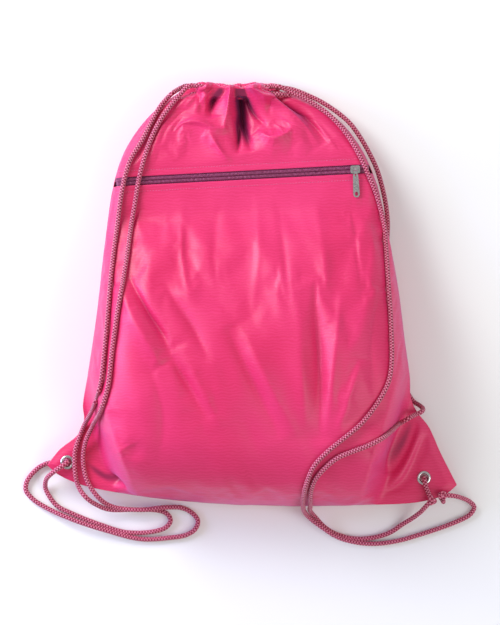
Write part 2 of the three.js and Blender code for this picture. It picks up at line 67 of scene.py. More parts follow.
LEFT_SIDE = [
    (-195.3, -163), (-183, -148), (-166, -134), (-160, -120), (-161, -106), (-156, -76), (-147, -16),
    (-140, 46), (-132, 102), (-122, 134), (-105, 161), (-86, 180), (-72, 189.5), (-63, 194), (-55, 196)]
RIGHT_SIDE = [
    (195.3, -182), (180, -152), (168, -126), (157, -112), (151, -98), (150, -80), (145, -44),
    (139, 4), (131, 48), (119.5, 101), (114, 117), (104, 138), (87, 161), (67, 176), (46, 186),
    (34, 190.5), (26, 193)]
BOTTOM = [
    (-195.3, -163), (-186, -171), (-165, -181), (-123, -190), (-63, -197.5),
    (27, -201.8), (106, -201), (160, -198), (184, -191), (195.3, -182)]
LEFT_CREASE = ((-156, -118), (-132, -192))
RIGHT_CREASE = ((124, -196), (150, -108))
CREASE_WIDTH = 24

# Y and the seam's height; distance across the zip and the front's height; the same and how far it rounds over
SEAM_HEIGHT = [(-205, 16), (-130, 16), (-60, 25), (40, 24), (112, 22), (182, 18.9)]
FRONT_HEIGHT = [(-320, 78), (-190, 94), (-112, 84), (-66, 62), (-32, 44), (15, 44), (44, 40), (72, 35)]
FRONT_ROUNDING = [(-320, 60), (-190, 66), (-112, 52), (-66, 32), (-32, 11.5), (14, 11.5), (72, 14)]
BACK_ROUNDING = 34
SEAM_HALF_GAP = 0.3

# ---- curves and surfaces
SPAN_SAMPLES = 24


def distances(line):
    """How far each point of a line is from its start, measured along it."""
    return np.concatenate([[0], np.cumsum(np.linalg.norm(np.diff(line, axis=0), axis=1))])


def resample(line, count=None, step=None, spacing=None):
    """The same line with a set number of points or a set step; spacing maps 0..1 to 0..1."""
    run = distances(line)
    if count is None:
        count = max(2, int(round(run[-1] / step)) + 1)
    at = np.linspace(0, 1, count)
    if spacing is not None:
        at = spacing(at)
    at = at * run[-1]
    return np.column_stack([np.interp(at, run, line[:, k]) for k in range(line.shape[1])])


def between(first, last, low, high, u):
    """First at low, last at high, and a straight blend at u between them."""
    return (high - u) / (high - low) * first + (u - low) / (high - low) * last


def smooth_line(points, count=None, step=None):
    """Centripetal Catmull-Rom line through the points, sampled evenly along its length."""
    p = np.asarray(points, float)
    p = np.vstack([2 * p[0] - p[1], p, 2 * p[-1] - p[-2]])
    spans = []
    for a, b, c, d in zip(p[:-3], p[1:-2], p[2:-1], p[3:]):
        t = np.cumsum([0] + [np.linalg.norm(v) ** 0.5 for v in (b - a, c - b, d - c)])
        u = np.linspace(t[1], t[2], SPAN_SAMPLES, endpoint=False)[:, None]
        ab = between(a, b, t[0], t[1], u)
        bc = between(b, c, t[1], t[2], u)
        cd = between(c, d, t[2], t[3], u)
        abc = between(ab, bc, t[0], t[2], u)
        bcd = between(bc, cd, t[1], t[3], u)
        spans.append(between(abc, bcd, t[1], t[2], u))
    dense = np.vstack(spans + [p[-2][None]])
    return resample(dense, count, step)


def along(stops, x):
    """A smooth value through (place, value) stops that never overshoots them."""
    xs, ys = (np.array(v, float) for v in zip(*stops))
    slope = np.diff(ys) / np.diff(xs)
    tangent = np.zeros_like(ys)
    product = slope[:-1] * slope[1:]
    total = slope[:-1] + slope[1:]
    tangent[1:-1] = np.where(product > 0, 2 * product / np.where(total == 0, 1, total), 0)
    x = np.clip(x, xs[0], xs[-1])
    i = np.clip(np.searchsorted(xs, x, side="right") - 1, 0, len(slope) - 1)
    span = xs[i + 1] - xs[i]
    t = (x - xs[i]) / span
    return ((1 + 2 * t) * (1 - t) ** 2 * ys[i] + t * (1 - t) ** 2 * span * tangent[i]
            + t * t * (3 - 2 * t) * ys[i + 1] + t * t * (t - 1) * span * tangent[i + 1])


def smoothstep(x, low=0.0, high=1.0):
    """0 below low, 1 above high, and a smooth rise between."""
    t = np.clip((x - low) / (high - low), 0, 1)
    return t * t * (3 - 2 * t)


def bell(x, middle, width):
    """1 at the middle, falling away to 0 over the width."""
    return np.exp(-((x - middle) / width) ** 2)


def line_distance(line, x, y):
    """Distance from each place to a line, and how far along the line the nearest point is, 0 to 1."""
    line = np.asarray(line, float)
    best = np.full(np.shape(x), np.inf)
    place = np.zeros(np.shape(x))
    lengths = np.linalg.norm(np.diff(line, axis=0), axis=1)
    starts = distances(line)
    for a, b, length, start in zip(line[:-1], line[1:], lengths, starts):
        d = b - a
        t = np.clip(((x - a[0]) * d[0] + (y - a[1]) * d[1]) / (length * length), 0, 1)
        gap = np.hypot(x - a[0] - t * d[0], y - a[1] - t * d[1])
        closer = gap < best
        best = np.where(closer, gap, best)
        place = np.where(closer, (start + t * length) / starts[-1], place)
    return best, place


def clear_of(crease, x, y):
    """0 in the flat ear outside a crease, rising to 1 over the crease's width."""
    (ax, ay), (bx, by) = crease
    side = ((x - ax) * (ay - by) + (y - ay) * (bx - ax)) / math.hypot(bx - ax, by - ay)
    return smoothstep(side, 0, CREASE_WIDTH)


def across_zip(x, y):
    """Distance from the zip's middle line, positive towards the neck."""
    return (y - ZIP_MIDDLE[1]) * ALONG_ZIP[0] - (x - ZIP_MIDDLE[0]) * ALONG_ZIP[1]


def along_zip(x, y):
    """Distance from the zip's middle, positive to the right."""
    return (x - ZIP_MIDDLE[0]) * ALONG_ZIP[0] + (y - ZIP_MIDDLE[1]) * ALONG_ZIP[1]


def beside_zip(s, across):
    """X and Y at a distance along the zip and a distance across it."""
    x = ZIP_MIDDLE[0] + s * ALONG_ZIP[0] - across * ALONG_ZIP[1]
    y = ZIP_MIDDLE[1] + s * ALONG_ZIP[1] + across * ALONG_ZIP[0]
    return x, y


def zip_line_y(x, across):
    """Y of a line beside the zip, at each X."""
    return ZIP_MIDDLE[1] + (across + (x - ZIP_MIDDLE[0]) * ALONG_ZIP[1]) / ALONG_ZIP[0]


left_line = smooth_line(LEFT_SIDE, step=2.0)
right_line = smooth_line(RIGHT_SIDE, step=2.0)
bottom_line = smooth_line(BOTTOM, step=2.0)
seam_line = np.vstack([left_line[::-1], bottom_line[1:-1], right_line])


def zip_end(side_line):
    """How far along the zip a side seam crosses it."""
    x, y = side_line.T
    return float(np.interp(0, across_zip(x, y), along_zip(x, y)))


ZIP_ENDS = (zip_end(left_line), zip_end(right_line))


def round_over(s):
    """A quarter circle's rise from 0 to 1."""
    return np.sqrt(1 - (1 - np.clip(s, 0, 1)) ** 2)


def from_seam(x, y):
    """Distance in from the seam round the bag."""
    return line_distance(seam_line, x, y)[0]


def puff(x, y):
    """1 over the filled bag, 0 in the two flat corner ears."""
    return clear_of(LEFT_CREASE, x, y) * clear_of(RIGHT_CREASE, x, y)


def ear_room(edge, inner, room):
    """How far a panel stands off the seam's level inside an ear, where the corner patch lies."""
    return room * smoothstep(edge, 0, 8) * (1 - inner)


def front_height(x, y):
    """The smooth front of the filled bag, before any folds."""
    edge = from_seam(x, y)
    inner = puff(x, y)
    across = across_zip(x, y)
    start = along(SEAM_HEIGHT, y) + SEAM_HALF_GAP + ear_room(edge, inner, 1.9)
    rise = along(FRONT_HEIGHT, across) - start
    return start + rise * round_over(edge / along(FRONT_ROUNDING, across)) * inner


def in_sleeve(x):
    """1 along the neck's sleeve, 0 past its open ends."""
    return smoothstep(x, *SLEEVE_LEFT) * (1 - smoothstep(x, *SLEEVE_RIGHT))


def neck_height(x, y, height):
    """Lifts the cloth into the sleeve that the cords run through, open at both ends."""
    shoulder_level = 25
    inside = in_sleeve(x)
    near = smoothstep(y, 166, 188)
    level = shoulder_level + (SLEEVE_TOP - shoulder_level) * inside
    return height + (level - height) * near * np.maximum(inside, smoothstep(y, 184, 193))


def back_height(x, y):
    """The smooth back, flat on the floor and rounded up to the seam."""
    edge = from_seam(x, y)
    inner = puff(x, y)
    start = along(SEAM_HEIGHT, y) - SEAM_HALF_GAP - ear_room(edge, inner, 1.7)
    return start * (1 - round_over(edge / BACK_ROUNDING) * inner)


# ---- folds, each with depth, width and points
NECK_FOLDS_FROM = 185

VALLEYS = [
    (24, 4.4, [(-12.5, 197), (-12, 184), (-9.5, 168), (-5, 152), (-1, 134)]),
    (9, 3.0, [(-14, 172), (-13, 152), (-13, 132)]),
    (13, 2.8, [(-9, 196), (-4, 180), (5, 168), (14, 160)]),
    (17, 5.0, [(-30, 192), (-36, 184), (-39, 176), (-37, 166)]),
    (16, 4.8, [(20, 192), (31, 183), (47, 172), (60, 158), (72, 143)]),
    (4, 1.4, [(-23.5, 202), (-23.5, 188)]),
    (5, 1.8, [(11, 200), (13, 189)]),
    (4, 5, [(-62, 176), (-80, 158), (-88, 138)]),
    (10, 5, [(-118, 20), (-106, -4), (-95, -21), (-86, -33), (-74, -56)]),
    (6, 5, [(-80, -48), (-61, -80), (-40, -116)]),
    (5.5, 6, [(-84, 12), (-56, -29), (-38, -64)]),
    (7, 7, [(-24, -28), (3, -84), (28, -134)]),
    (8.5, 8, [(58, 12), (62, -60), (64, -140)]),
    (15, 3.6, [(-160, -158), (-146, -170), (-118, -186)]),
    (12, 6, [(156, -112), (143, -142), (128, -172)]),
    (5, 4, [(170, -128), (156, -157), (146, -176)]),
    (5, 3, [(126, -190), (142, -181), (158, -162)]),
    (1.6, 7, [(22, 98), (30, 40), (36, -20)]),
    (1.4, 8, [(-28, 98), (-36, 40), (-30, -10)]),
    (1.6, 7, [(94, 92), (99, 40), (104, -10)]),
    (2.6, 8, [(-96, -60), (-82, -110), (-86, -160)]),
    (3.0, 7, [(118, 2), (111, -50), (116, -96)]),
]
RIDGES = [
    (8, 4.6, [(-21, 196), (-23, 176), (-27, 150)]),
    (12, 4.4, [(-3, 196), (13, 187), (34, 175), (49, 161), (64, 141)]),
    (5, 3.0, [(-76, 151), (-68, 160), (-51, 162), (-34, 156), (-22, 157)]),
    (5, 4.5, [(-41, 154), (-33, 140), (-20, 123)]),
    (8, 6, [(4, 156), (18, 146), (32, 150), (38, 160)]),
    (5, 6, [(-46, 196), (-48, 184), (-56, 170)]),
    (4, 4.5, [(6, 198), (24, 189), (44, 178)]),
    (8, 9, [(-124, 10), (-112, -16), (-100, -38), (-84, -66)]),
    (6, 9, [(84, 6), (76, -54), (68, -132)]),
    (4, 10, [(42, -2), (46, -70), (50, -134)]),
    (3.6, 9, [(100, -60), (78, -134)]),
    (5.5, 9, [(-12, -26), (16, -86), (42, -132)]),
    (5, 7, [(164, -116), (148, -160), (126, -192)]),
    (1.6, 9, [(4, 98), (6, 44), (0, -16)]),
    (1.6, 9, [(60, 96), (66, 44), (72, -4)]),
    (1.6, 9, [(-66, 94), (-66, 36), (-56, -10)]),
    (3.2, 8, [(-66, -46), (-48, -86), (-26, -124)]),
]


def fold_shape(width, points, x, y):
    """One fold, 1 along its crest. Those that start at the neck are deepest there and open out."""
    gap, place = line_distance(smooth_line(points, step=4.0), x, y)
    crest = 0.22 * width
    if points[0][1] > NECK_FOLDS_FROM:
        taper = np.cos(0.5 * np.pi * place) ** 0.8
        spread = width * (0.65 + 0.8 * place)
    else:
        taper = np.sin(np.pi * place) ** 0.9
        spread = width * 0.8
    return taper * np.exp((crest - np.sqrt(gap ** 2 + crest ** 2)) / spread)


def folds(x, y):
    """How far the sculpted folds push the cloth out (positive) or in."""
    total = np.zeros_like(x)
    for sign, group in ((-1, VALLEYS), (1, RIDGES)):
        for depth, width, points in group:
            total += sign * depth * fold_shape(width, points, x, y)
    return total


def painted_fold_shade(x, y):
    """Painted shade: 0 on open cloth to 1 in the deepest folds, where less light gets in; the cloth's colour
    is darkened by it there.
    """
    return smoothstep(-folds(x, y), 3.0, 13.0)


def store(obj, name, values):
    """Keeps one number for each vertex, for the material to read."""
    layer = obj.data.attributes.new(name, "FLOAT", "POINT")
    layer.data.foreach_set("value", np.asarray(values, np.float32).ravel())


LATTICE = 64


def value_noise(x, y, cell_x, cell_y, seed):
    """Smooth noise between -1 and 1 on a lattice of the given cell size."""
    lattice = np.random.default_rng(seed).uniform(-1, 1, (LATTICE, LATTICE))
    grid_x = x / cell_x + 31
    grid_y = y / cell_y + 31
    left = np.floor(grid_x).astype(int)
    lower = np.floor(grid_y).astype(int)
    part_x = smoothstep(grid_x - left)
    part_y = smoothstep(grid_y - lower)
    rows = []
    for row in (lower % LATTICE, (lower + 1) % LATTICE):
        rows.append(lattice[left % LATTICE, row] * (1 - part_x) + lattice[(left + 1) % LATTICE, row] * part_x)
    return rows[0] * (1 - part_y) + rows[1] * part_y


# the gathers at the neck: how many across it, where they start, how deep
PLEATS = ((3.5, 0.3, 1.0), (6.3, 1.9, 0.8), (9.7, 4.2, 0.7), (15.1, 2.7, 0.45), (23.0, 0.9, 0.25))


def pleats(u):
    """The gathers at the neck, across it from 0 to 1."""
    return sum(depth * np.sin(2 * np.pi * count * u + start) for count, start, depth in PLEATS)


# ---- mesh helpers
def new_object(name, vertices, faces, uvs=None, smooth=True):
    """A mesh object from vertices in millimetres."""
    mesh = bpy.data.meshes.new(name)
    mesh.from_pydata((np.asarray(vertices, float) * MM).tolist(), [], [tuple(f) for f in faces])
    if uvs is not None:
        layer = mesh.uv_layers.new(name="UVMap")
        index = np.empty(len(mesh.loops), dtype=np.int32)
        mesh.loops.foreach_get("vertex_index", index)
        layer.data.foreach_set("uv", np.asarray(uvs, float)[index].ravel())
    mesh.polygons.foreach_set("use_smooth", [smooth] * len(mesh.polygons))
    mesh.update()
    obj = bpy.data.objects.new(name, mesh)
    bpy.context.scene.collection.objects.link(obj)
    return obj


def grid_faces(columns, rows, wrap=False, flip=False):
    """Faces of a grid whose vertices run column by column; wrap joins the last column to the first."""
    i, j = np.meshgrid(np.arange(columns - (0 if wrap else 1)), np.arange(rows - 1), indexing="ij")
    here = i * rows + j
    beside = (i + 1) % columns * rows + j
    quads = np.stack([here, beside, beside + 1, here + 1], -1).reshape(-1, 4)
    return quads[:, ::-1] if flip else quads


def modifier(obj, kind, **settings):
    mod = obj.modifiers.new(kind.lower(), kind)
    for key, value in settings.items():
        setattr(mod, key, value)
    return mod


def apply_modifiers(obj):
    """Replaces the object's mesh with what its modifiers make of it."""
    depsgraph = bpy.context.evaluated_depsgraph_get()
    mesh = bpy.data.meshes.new_from_object(obj.evaluated_get(depsgraph))
    obj.modifiers.clear()
    obj.data = mesh


def finish_piece(obj, material, replaces=None):
    """Gives a piece of the bag its material, hangs it on the bag's body, and hides the CAD node that it
    stands for.
    """
    obj.data.materials.clear()
    obj.data.materials.append(material)
    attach(obj, "bag")
    if replaces:
        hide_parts(replaces)
    return obj


# ---- materials
class Nodes:
    """A short way to write a material's nodes."""

    def __init__(self, name, **shader):
        self.material = bpy.data.materials.new(name)
        self.material.use_nodes = True
        self.tree = self.material.node_tree
        self.shader = self.tree.nodes["Principled BSDF"]
        for key, value in shader.items():
            self.shader.inputs[key.replace("_", " ")].default_value = value

    def add(self, kind, values=(), **settings):
        """A new node; values are sockets to link or numbers to set, by input name or index."""
        node = self.tree.nodes.new(kind)
        for key, value in settings.items():
            setattr(node, key, value)
        for key, value in dict(values).items():
            self.feed(node.inputs[key], value)
        return node

    def feed(self, socket, value):
        if isinstance(value, bpy.types.NodeSocket):
            self.tree.links.new(value, socket)
        else:
            socket.default_value = value

    def math(self, operation, a, b=0.0):
        return self.add("ShaderNodeMath", {0: a, 1: b}, operation=operation).outputs[0]

    def ramp(self, factor, stops):
        node = self.add("ShaderNodeValToRGB", {"Fac": factor})
        elements = node.color_ramp.elements
        while len(elements) < len(stops):
            elements.new(0.5)
        for element, (place, color) in zip(elements, stops):
            element.position = place
            element.color = (*color, 1)
        return node.outputs["Color"]

    def mix(self, factor, color, other):
        """From a linked colour to a fixed one."""
        node = self.add("ShaderNodeMix", data_type="RGBA")
        for index, value in ((0, factor), (6, color), (7, (*other, 1))):
            self.feed(node.inputs[index], value)
        return node.outputs[2]

    def set(self, socket, value):
        self.tree.links.new(value, self.shader.inputs[socket])

    def bump(self, height, distance, strength=1.0):
        node = self.add("ShaderNodeBump", {"Height": height, "Distance": distance, "Strength": strength})
        self.set("Normal", node.outputs["Normal"])

    def coordinates(self):
        return self.add("ShaderNodeTexCoord").outputs["Object"]

    def noise(self, vector, scale, detail=3.0):
        node = self.add("ShaderNodeTexNoise", {"Vector": vector, "Scale": scale, "Detail": detail})
        return node.outputs["Fac"]

    def wave(self, vector, scale, distortion=0.0, direction="X"):
        node = self.add("ShaderNodeTexWave", {"Vector": vector, "Scale": scale, "Distortion": distortion},
                        wave_type="BANDS", bands_direction=direction)
        return node.outputs["Fac"]


THREAD = 0.0006
WAVES_PER_METRE = 0.314     # Blender's wave scale for one band per metre


def woven_cloth(name, low, high, painted_shade_color, roughness):
    """Plain-woven satin polyester: fine crossed threads, weft ribs that wander, slow colour change, and
    painted shade that darkens the colour in the deepest folds.
    """
    n = Nodes(name, Sheen_Weight=0.28, Sheen_Roughness=0.42, Sheen_Tint=(0.55, 0.42, 1.0, 1),
              Specular_IOR_Level=0.5)
    place = n.coordinates()
    warp = n.wave(place, WAVES_PER_METRE / THREAD, 0.6)
    weft = n.wave(place, WAVES_PER_METRE / THREAD, 0.6, "Y")
    weave = n.math("MULTIPLY", n.math("ADD", warp, weft), 0.5)
    ribs = n.wave(place, 115.0, 7.0, "Y")
    slow = n.noise(place, 9.0, 3.0)
    tone = n.math("ADD", n.math("MULTIPLY", slow, 0.7), n.math("MULTIPLY", ribs, 0.2))
    tone = n.math("ADD", tone, n.math("MULTIPLY", weave, 0.1))
    # painted shade: the per-vertex fold mask, which mixes the colour towards a dark purple in the deepest
    # folds
    painted_shade = n.add("ShaderNodeAttribute", attribute_name="painted_shade").outputs["Fac"]
    open_color = n.ramp(tone, [(0.3, low), (0.7, high)])
    n.set("Base Color", n.mix(painted_shade, open_color, painted_shade_color))
    n.set("Roughness", n.math("ADD", n.math("MULTIPLY", slow, 0.10), roughness - 0.05))
    crease = n.noise(place, 70.0, 4.0)
    height = n.math("ADD", n.math("MULTIPLY", weave, 0.25), n.math("MULTIPLY", ribs, 0.30))
    n.bump(n.math("ADD", height, crease), 0.0004, 0.35)
    return n.material


BRAID_AROUND = 3
BRAID_ALONG = 1.6


def braided_cord():
    """Braid drawn from the cord's own coordinates: U once around, V in cord diameters along."""
    n = Nodes("braided_cord", Roughness=0.6, Sheen_Weight=0.2, Sheen_Roughness=0.4,
              Sheen_Tint=(1.0, 0.75, 0.85, 1), Specular_IOR_Level=0.35)
    split = n.add("ShaderNodeSeparateXYZ", {0: n.add("ShaderNodeTexCoord").outputs["UV"]})
    around = n.math("COSINE", n.math("MULTIPLY", split.outputs[0], 2 * math.pi * BRAID_AROUND))
    climb = n.math("COSINE", n.math("MULTIPLY", split.outputs[1], 2 * math.pi * BRAID_ALONG))
    weave = n.math("MULTIPLY", around, climb)
    fine = n.noise(n.coordinates(), 1300.0, 2.0)
    tone = n.math("ADD", n.math("MULTIPLY", weave, 0.62), n.math("MULTIPLY", fine, 0.9))
    n.set("Base Color", n.ramp(tone, [(0.0, (0.22, 0.006, 0.04)), (0.28, (0.42, 0.025, 0.09)),
                                      (0.50, (0.62, 0.09, 0.18)), (0.90, (0.84, 0.32, 0.43))]))
    n.bump(n.math("ADD", weave, n.math("MULTIPLY", fine, 0.4)), 0.0006, 0.9)
    return n.material


def zip_tape_cloth():
    """Dull maroon tape with a diagonal twill."""
    n = Nodes("zip_tape_cloth", Roughness=0.7, Sheen_Weight=0.3, Sheen_Tint=(0.9, 0.6, 0.8, 1))
    place = n.coordinates()
    twill = n.wave(place, 330.0, 0.0, "DIAGONAL")
    n.set("Base Color", n.ramp(twill, [(0.0, (0.26, 0.03, 0.11)), (1.0, (0.55, 0.13, 0.29))]))
    n.bump(twill, 0.0003, 0.8)
    return n.material


def nylon_coil():
    n = Nodes("nylon_coil", Roughness=0.38, Specular_IOR_Level=0.5)
    mottle = n.noise(n.coordinates(), 500.0)
    n.set("Base Color", n.ramp(mottle, [(0.3, (0.28, 0.04, 0.12)), (0.8, (0.50, 0.11, 0.25))]))
    return n.material


def nickel_plate():
    """Plated metal with fine handling scuffs."""
    n = Nodes("nickel_plate", Metallic=1.0)
    scuffs = n.noise(n.coordinates(), 900.0, 6.0)
    n.set("Base Color", n.ramp(scuffs, [(0.3, (0.46, 0.44, 0.45)), (0.7, (0.80, 0.77, 0.77))]))
    n.set("Roughness", n.math("ADD", n.math("MULTIPLY", scuffs, 0.22), 0.12))
    n.bump(scuffs, 0.00005, 0.4)
    return n.material


def sewing_thread():
    n = Nodes("sewing_thread", Roughness=0.5, Sheen_Weight=0.3)
    twist = n.noise(n.coordinates(), 1200.0)
    n.set("Base Color", n.ramp(twist, [(0.3, (0.55, 0.03, 0.14)), (0.7, (0.85, 0.15, 0.34))]))
    return n.material


def pale_floor():
    n = Nodes("pale_floor", Roughness=0.9)
    clouds = n.noise(n.coordinates(), 3.0)
    n.set("Base Color", n.ramp(clouds, [(0.3, (0.93, 0.93, 0.93)), (0.7, (0.96, 0.96, 0.96))]))
    return n.material


# the third colour is painted shade: the dark colour that the deepest folds are tinted with
polyester = woven_cloth("pink_polyester", low=(0.70, 0.014, 0.100), high=(0.80, 0.032, 0.165),
                        painted_shade_color=(0.15, 0.0, 0.045), roughness=0.44)
lining_cloth = woven_cloth("lining_polyester", low=(0.42, 0.015, 0.09), high=(0.56, 0.03, 0.14),
                           painted_shade_color=(0.12, 0.0, 0.04), roughness=0.5)
cord_cloth = braided_cord()
tape_cloth = zip_tape_cloth()
coil_nylon = nylon_coil()
nickel = nickel_plate()
thread = sewing_thread()


# ---- camera, light and floor
VIEW_HEIGHT = 593.75
VIEW_MIDDLE = (-1.9, -17.6)
CAMERA_DISTANCE = 3.0
SENSOR = 36.0
MID_HEIGHT = 25.0

camera_data = bpy.data.cameras.new("camera")
camera_data.sensor_width = SENSOR
camera_data.lens = SENSOR * CAMERA_DISTANCE / (VIEW_HEIGHT * MM)
camera_data.clip_end = 20.0
camera = bpy.data.objects.new("camera", camera_data)
camera.location = (VIEW_MIDDLE[0] * MM, VIEW_MIDDLE[1] * MM, CAMERA_DISTANCE + MID_HEIGHT * MM)
bpy.context.scene.collection.objects.link(camera)
bpy.context.scene.camera = camera


def area_light(name, place, aim, size, power, color=(1, 1, 1)):
    data = bpy.data.lights.new(name, "AREA")
    data.shape = "RECTANGLE"
    data.size, data.size_y = size
    data.energy = power
    data.color = color
    light = bpy.data.objects.new(name, data)
    light.location = place
    light.rotation_euler = (Vector(aim) - Vector(place)).to_track_quat("-Z", "Y").to_euler()
    bpy.context.scene.collection.objects.link(light)


area_light("key", (-1.4, 1.3, 1.2), (0, 0, 0), (1.0, 1.0), 42.0, (0.94, 0.96, 1.0))
area_light("left", (-2.0, 0.3, 0.6), (-0.1, 0, 0.03), (0.8, 1.4), 40.0, (0.52, 0.55, 1.0))
area_light("fill", (1.6, -0.9, 1.7), (0, 0, 0), (1.6, 1.6), 20.0)

world = bpy.data.worlds.new("world")
world.use_nodes = True
background = world.node_tree.nodes["Background"]
background.inputs["Color"].default_value = (1, 1, 1, 1)
background.inputs["Strength"].default_value = 0.44
bpy.context.scene.world = world
bpy.context.scene.view_settings.view_transform = "Standard"

FLOOR_REACH = 4000
FLOOR_LEVEL = -0.6
corners = ((-1, -1), (1, -1), (1, 1), (-1, 1))
floor = new_object("floor", [(x * FLOOR_REACH, y * FLOOR_REACH, FLOOR_LEVEL) for x, y in corners],
                   [(0, 1, 2, 3)], smooth=False)
floor.data.materials.append(pale_floor())


# ---- cloth panels
def fill_between(left, right, bottom, top, across, up):
    """A grid of points [column, row] between four edges."""
    u = across[:, None, None]
    v = up[None, :, None]
    corners = (1 - u) * ((1 - v) * bottom[0] + v * top[0]) + u * ((1 - v) * bottom[-1] + v * top[-1])
    return (1 - v) * bottom[:, None] + v * top[:, None] + (1 - u) * left[None] + u * right[None] - corners


def evenly(t):
    return t


def edges_close(t):
    """Closer together at both ends."""
    return 0.6 * t + 0.4 * (0.5 - 0.5 * np.cos(np.pi * t))


def start_close(t):
    """Closer together at the start."""
    return 0.55 * t + 0.45 * (1 - np.cos(0.5 * np.pi * t))


def below_all(x):
    return np.full(np.shape(x), -1e6)


def above_all(x):
    return np.full(np.shape(x), 1e6)


def pocket_top(x):
    return zip_line_y(x, -ZIP_BAND)


def yoke_bottom(x):
    return zip_line_y(x, ZIP_BAND)


def cut_side(line, low, high):
    """The points of a side line that lie between two lines."""
    keep = (line[:, 1] >= low(line[:, 0])) & (line[:, 1] <= high(line[:, 0]))
    return line[keep]


def panel_grid(low, high, columns, rows, up_spacing):
    """A flat grid over the bag's outline between two lines, with where its columns and rows are, 0 to 1."""
    left = resample(cut_side(smooth_line(LEFT_SIDE, step=0.5), low, high), rows, spacing=up_spacing)
    right = resample(cut_side(smooth_line(RIGHT_SIDE, step=0.5), low, high), rows, spacing=up_spacing)
    across = edges_close(np.linspace(0, 1, columns))
    up = up_spacing(np.linspace(0, 1, rows))
    if low is below_all:
        bottom = resample(smooth_line(BOTTOM, step=0.5), columns, spacing=edges_close)
    else:
        bottom = left[0] + (right[0] - left[0]) * across[:, None]
    top = left[-1] + (right[-1] - left[-1]) * across[:, None]
    return fill_between(left, right, bottom, top, across, up), across, up


def grid_normals(points):
    """The way each point of a grid faces."""
    du = np.gradient(points, axis=0)
    dv = np.gradient(points, axis=1)
    n = np.cross(du, dv)
    return n / np.linalg.norm(n, axis=-1, keepdims=True)


def sculpt(points, amount):
    """Moves a grid of points out along its own normals."""
    return points + grid_normals(points) * amount[..., None]


CRUMPLE_FRAMES = 20


def pin_vertices(obj, pinned):
    """A vertex group that the cloth simulation holds still."""
    group = obj.vertex_groups.new(name="pinned")
    rounded = np.round(pinned, 1)
    for weight in np.unique(rounded):
        if weight > 0:
            group.add(np.nonzero(rounded == weight)[0].tolist(), float(weight), "REPLACE")


def cloth_modifier(obj, expand, pressure):
    """Light polyester that grows by a share of its size under a small pressure, with no gravity."""
    cloth = obj.modifiers.new("cloth", "CLOTH")
    fabric = cloth.settings
    fabric.vertex_group_mass = "pinned"
    fabric.quality = 6
    fabric.mass = 0.12
    fabric.tension_stiffness = 30
    fabric.compression_stiffness = 30
    fabric.shear_stiffness = 8
    fabric.bending_stiffness = 0.35
    fabric.shrink_min = -expand
    fabric.use_pressure = True
    fabric.uniform_pressure_force = pressure
    fabric.effector_weights.gravity = 0
    cloth.collision_settings.use_collision = False
    cloth.collision_settings.use_self_collision = False
    cloth.point_cache.frame_end = CRUMPLE_FRAMES


def crumple(obj, pinned, free, expand, pressure, cap):
    """Lets the cloth buckle a little where it is free, within cap of where it began."""
    mesh = obj.data
    start = np.empty(len(mesh.vertices) * 3)
    mesh.vertices.foreach_get("co", start)
    pin_vertices(obj, pinned)
    cloth_modifier(obj, expand, pressure)
    for step in range(1, CRUMPLE_FRAMES + 1):
        bpy.context.scene.frame_set(step)
    moved = np.empty(len(start))
    depsgraph = bpy.context.evaluated_depsgraph_get()
    obj.evaluated_get(depsgraph).data.vertices.foreach_get("co", moved)
    shift = (moved - start).reshape(-1, 3)
    size = np.linalg.norm(shift, axis=1, keepdims=True)
    limit = cap * MM
    shift *= limit * np.tanh(size / limit) / np.maximum(size, 1e-9) * free[:, None]
    obj.modifiers.clear()
    obj.vertex_groups.clear()
    mesh.vertices.foreach_set("co", (start.reshape(-1, 3) + shift).ravel())
    mesh.update()
    bpy.context.scene.frame_set(1)


def punch_eyelets(points, faces):
    """Leaves out the faces where the eyelets go through."""
    centre = points.reshape(-1, 3)[faces].mean(axis=1)
    keep = np.ones(len(faces), bool)
    for x, y in EYELETS.values():
        keep &= np.hypot(centre[:, 0] - x, centre[:, 1] - y) > EYELET_CUT
    return faces[keep]


def small_creases(x, y):
    """Slow unevenness, weaker in the flat ears."""
    fade = smoothstep(puff(x, y), 0.0, 0.6)
    wide = 1.1 * value_noise(x, y, 26, 60, 3)
    slanted = 0.6 * value_noise(x + 0.4 * y, y, 13, 34, 4)
    return (wide + slanted) * (0.35 + 0.65 * fade)


def edge_pins(columns, rows):
    """1 on the four edges of a grid, 0 inside."""
    weight = np.zeros((columns, rows))
    weight[0, :] = weight[-1, :] = 1
    weight[:, 0] = weight[:, -1] = 1
    return weight.ravel()


def stitch_groove(across):
    """The cloth pulled down under the row of stitches beside the zip."""
    return 0.5 * bell(across, ZIP_BAND + HEM_SEAM, 1.1)


def sheet_object(name, points, faces, flat):
    return new_object(name, points.reshape(-1, 3), faces, flat.reshape(-1, 2) * MM)


def make_pocket_panel():
    columns, rows = 132, 124
    flat, _, _ = panel_grid(below_all, pocket_top, columns, rows, start_close)
    x, y = flat[..., 0], flat[..., 1]
    below = -across_zip(x, y)
    edge = from_seam(x, y)
    calm = smoothstep(below, 8, 40) * smoothstep(edge, 0, 14)
    ripple = 0.45 * value_noise(along_zip(x, y), y * 0, 17, 40, 9) * smoothstep(below, 4, 12) * (1 - calm)
    amount = (folds(x, y) + small_creases(x, y)) * calm + ripple - stitch_groove(below)
    points = sculpt(np.dstack([x, y, front_height(x, y)]), amount)
    lowest = along(SEAM_HEIGHT, y) + SEAM_HALF_GAP + smoothstep(edge, 0, 5)
    points[..., 2] = np.maximum(points[..., 2], lowest)
    obj = sheet_object("pocket_panel_cloth", points, punch_eyelets(points, grid_faces(columns, rows)), flat)
    # painted shade for the pocket's deepest folds, stored for the material to darken the colour there
    store(obj, "painted_shade", 0.75 * painted_fold_shade(x, y) * calm)
    free = smoothstep(below, 9, 45) * smoothstep(puff(x, y), 0.1, 0.7)
    crumple(obj, edge_pins(columns, rows), free.ravel(), expand=0.015, pressure=0.4, cap=3.0)
    return obj


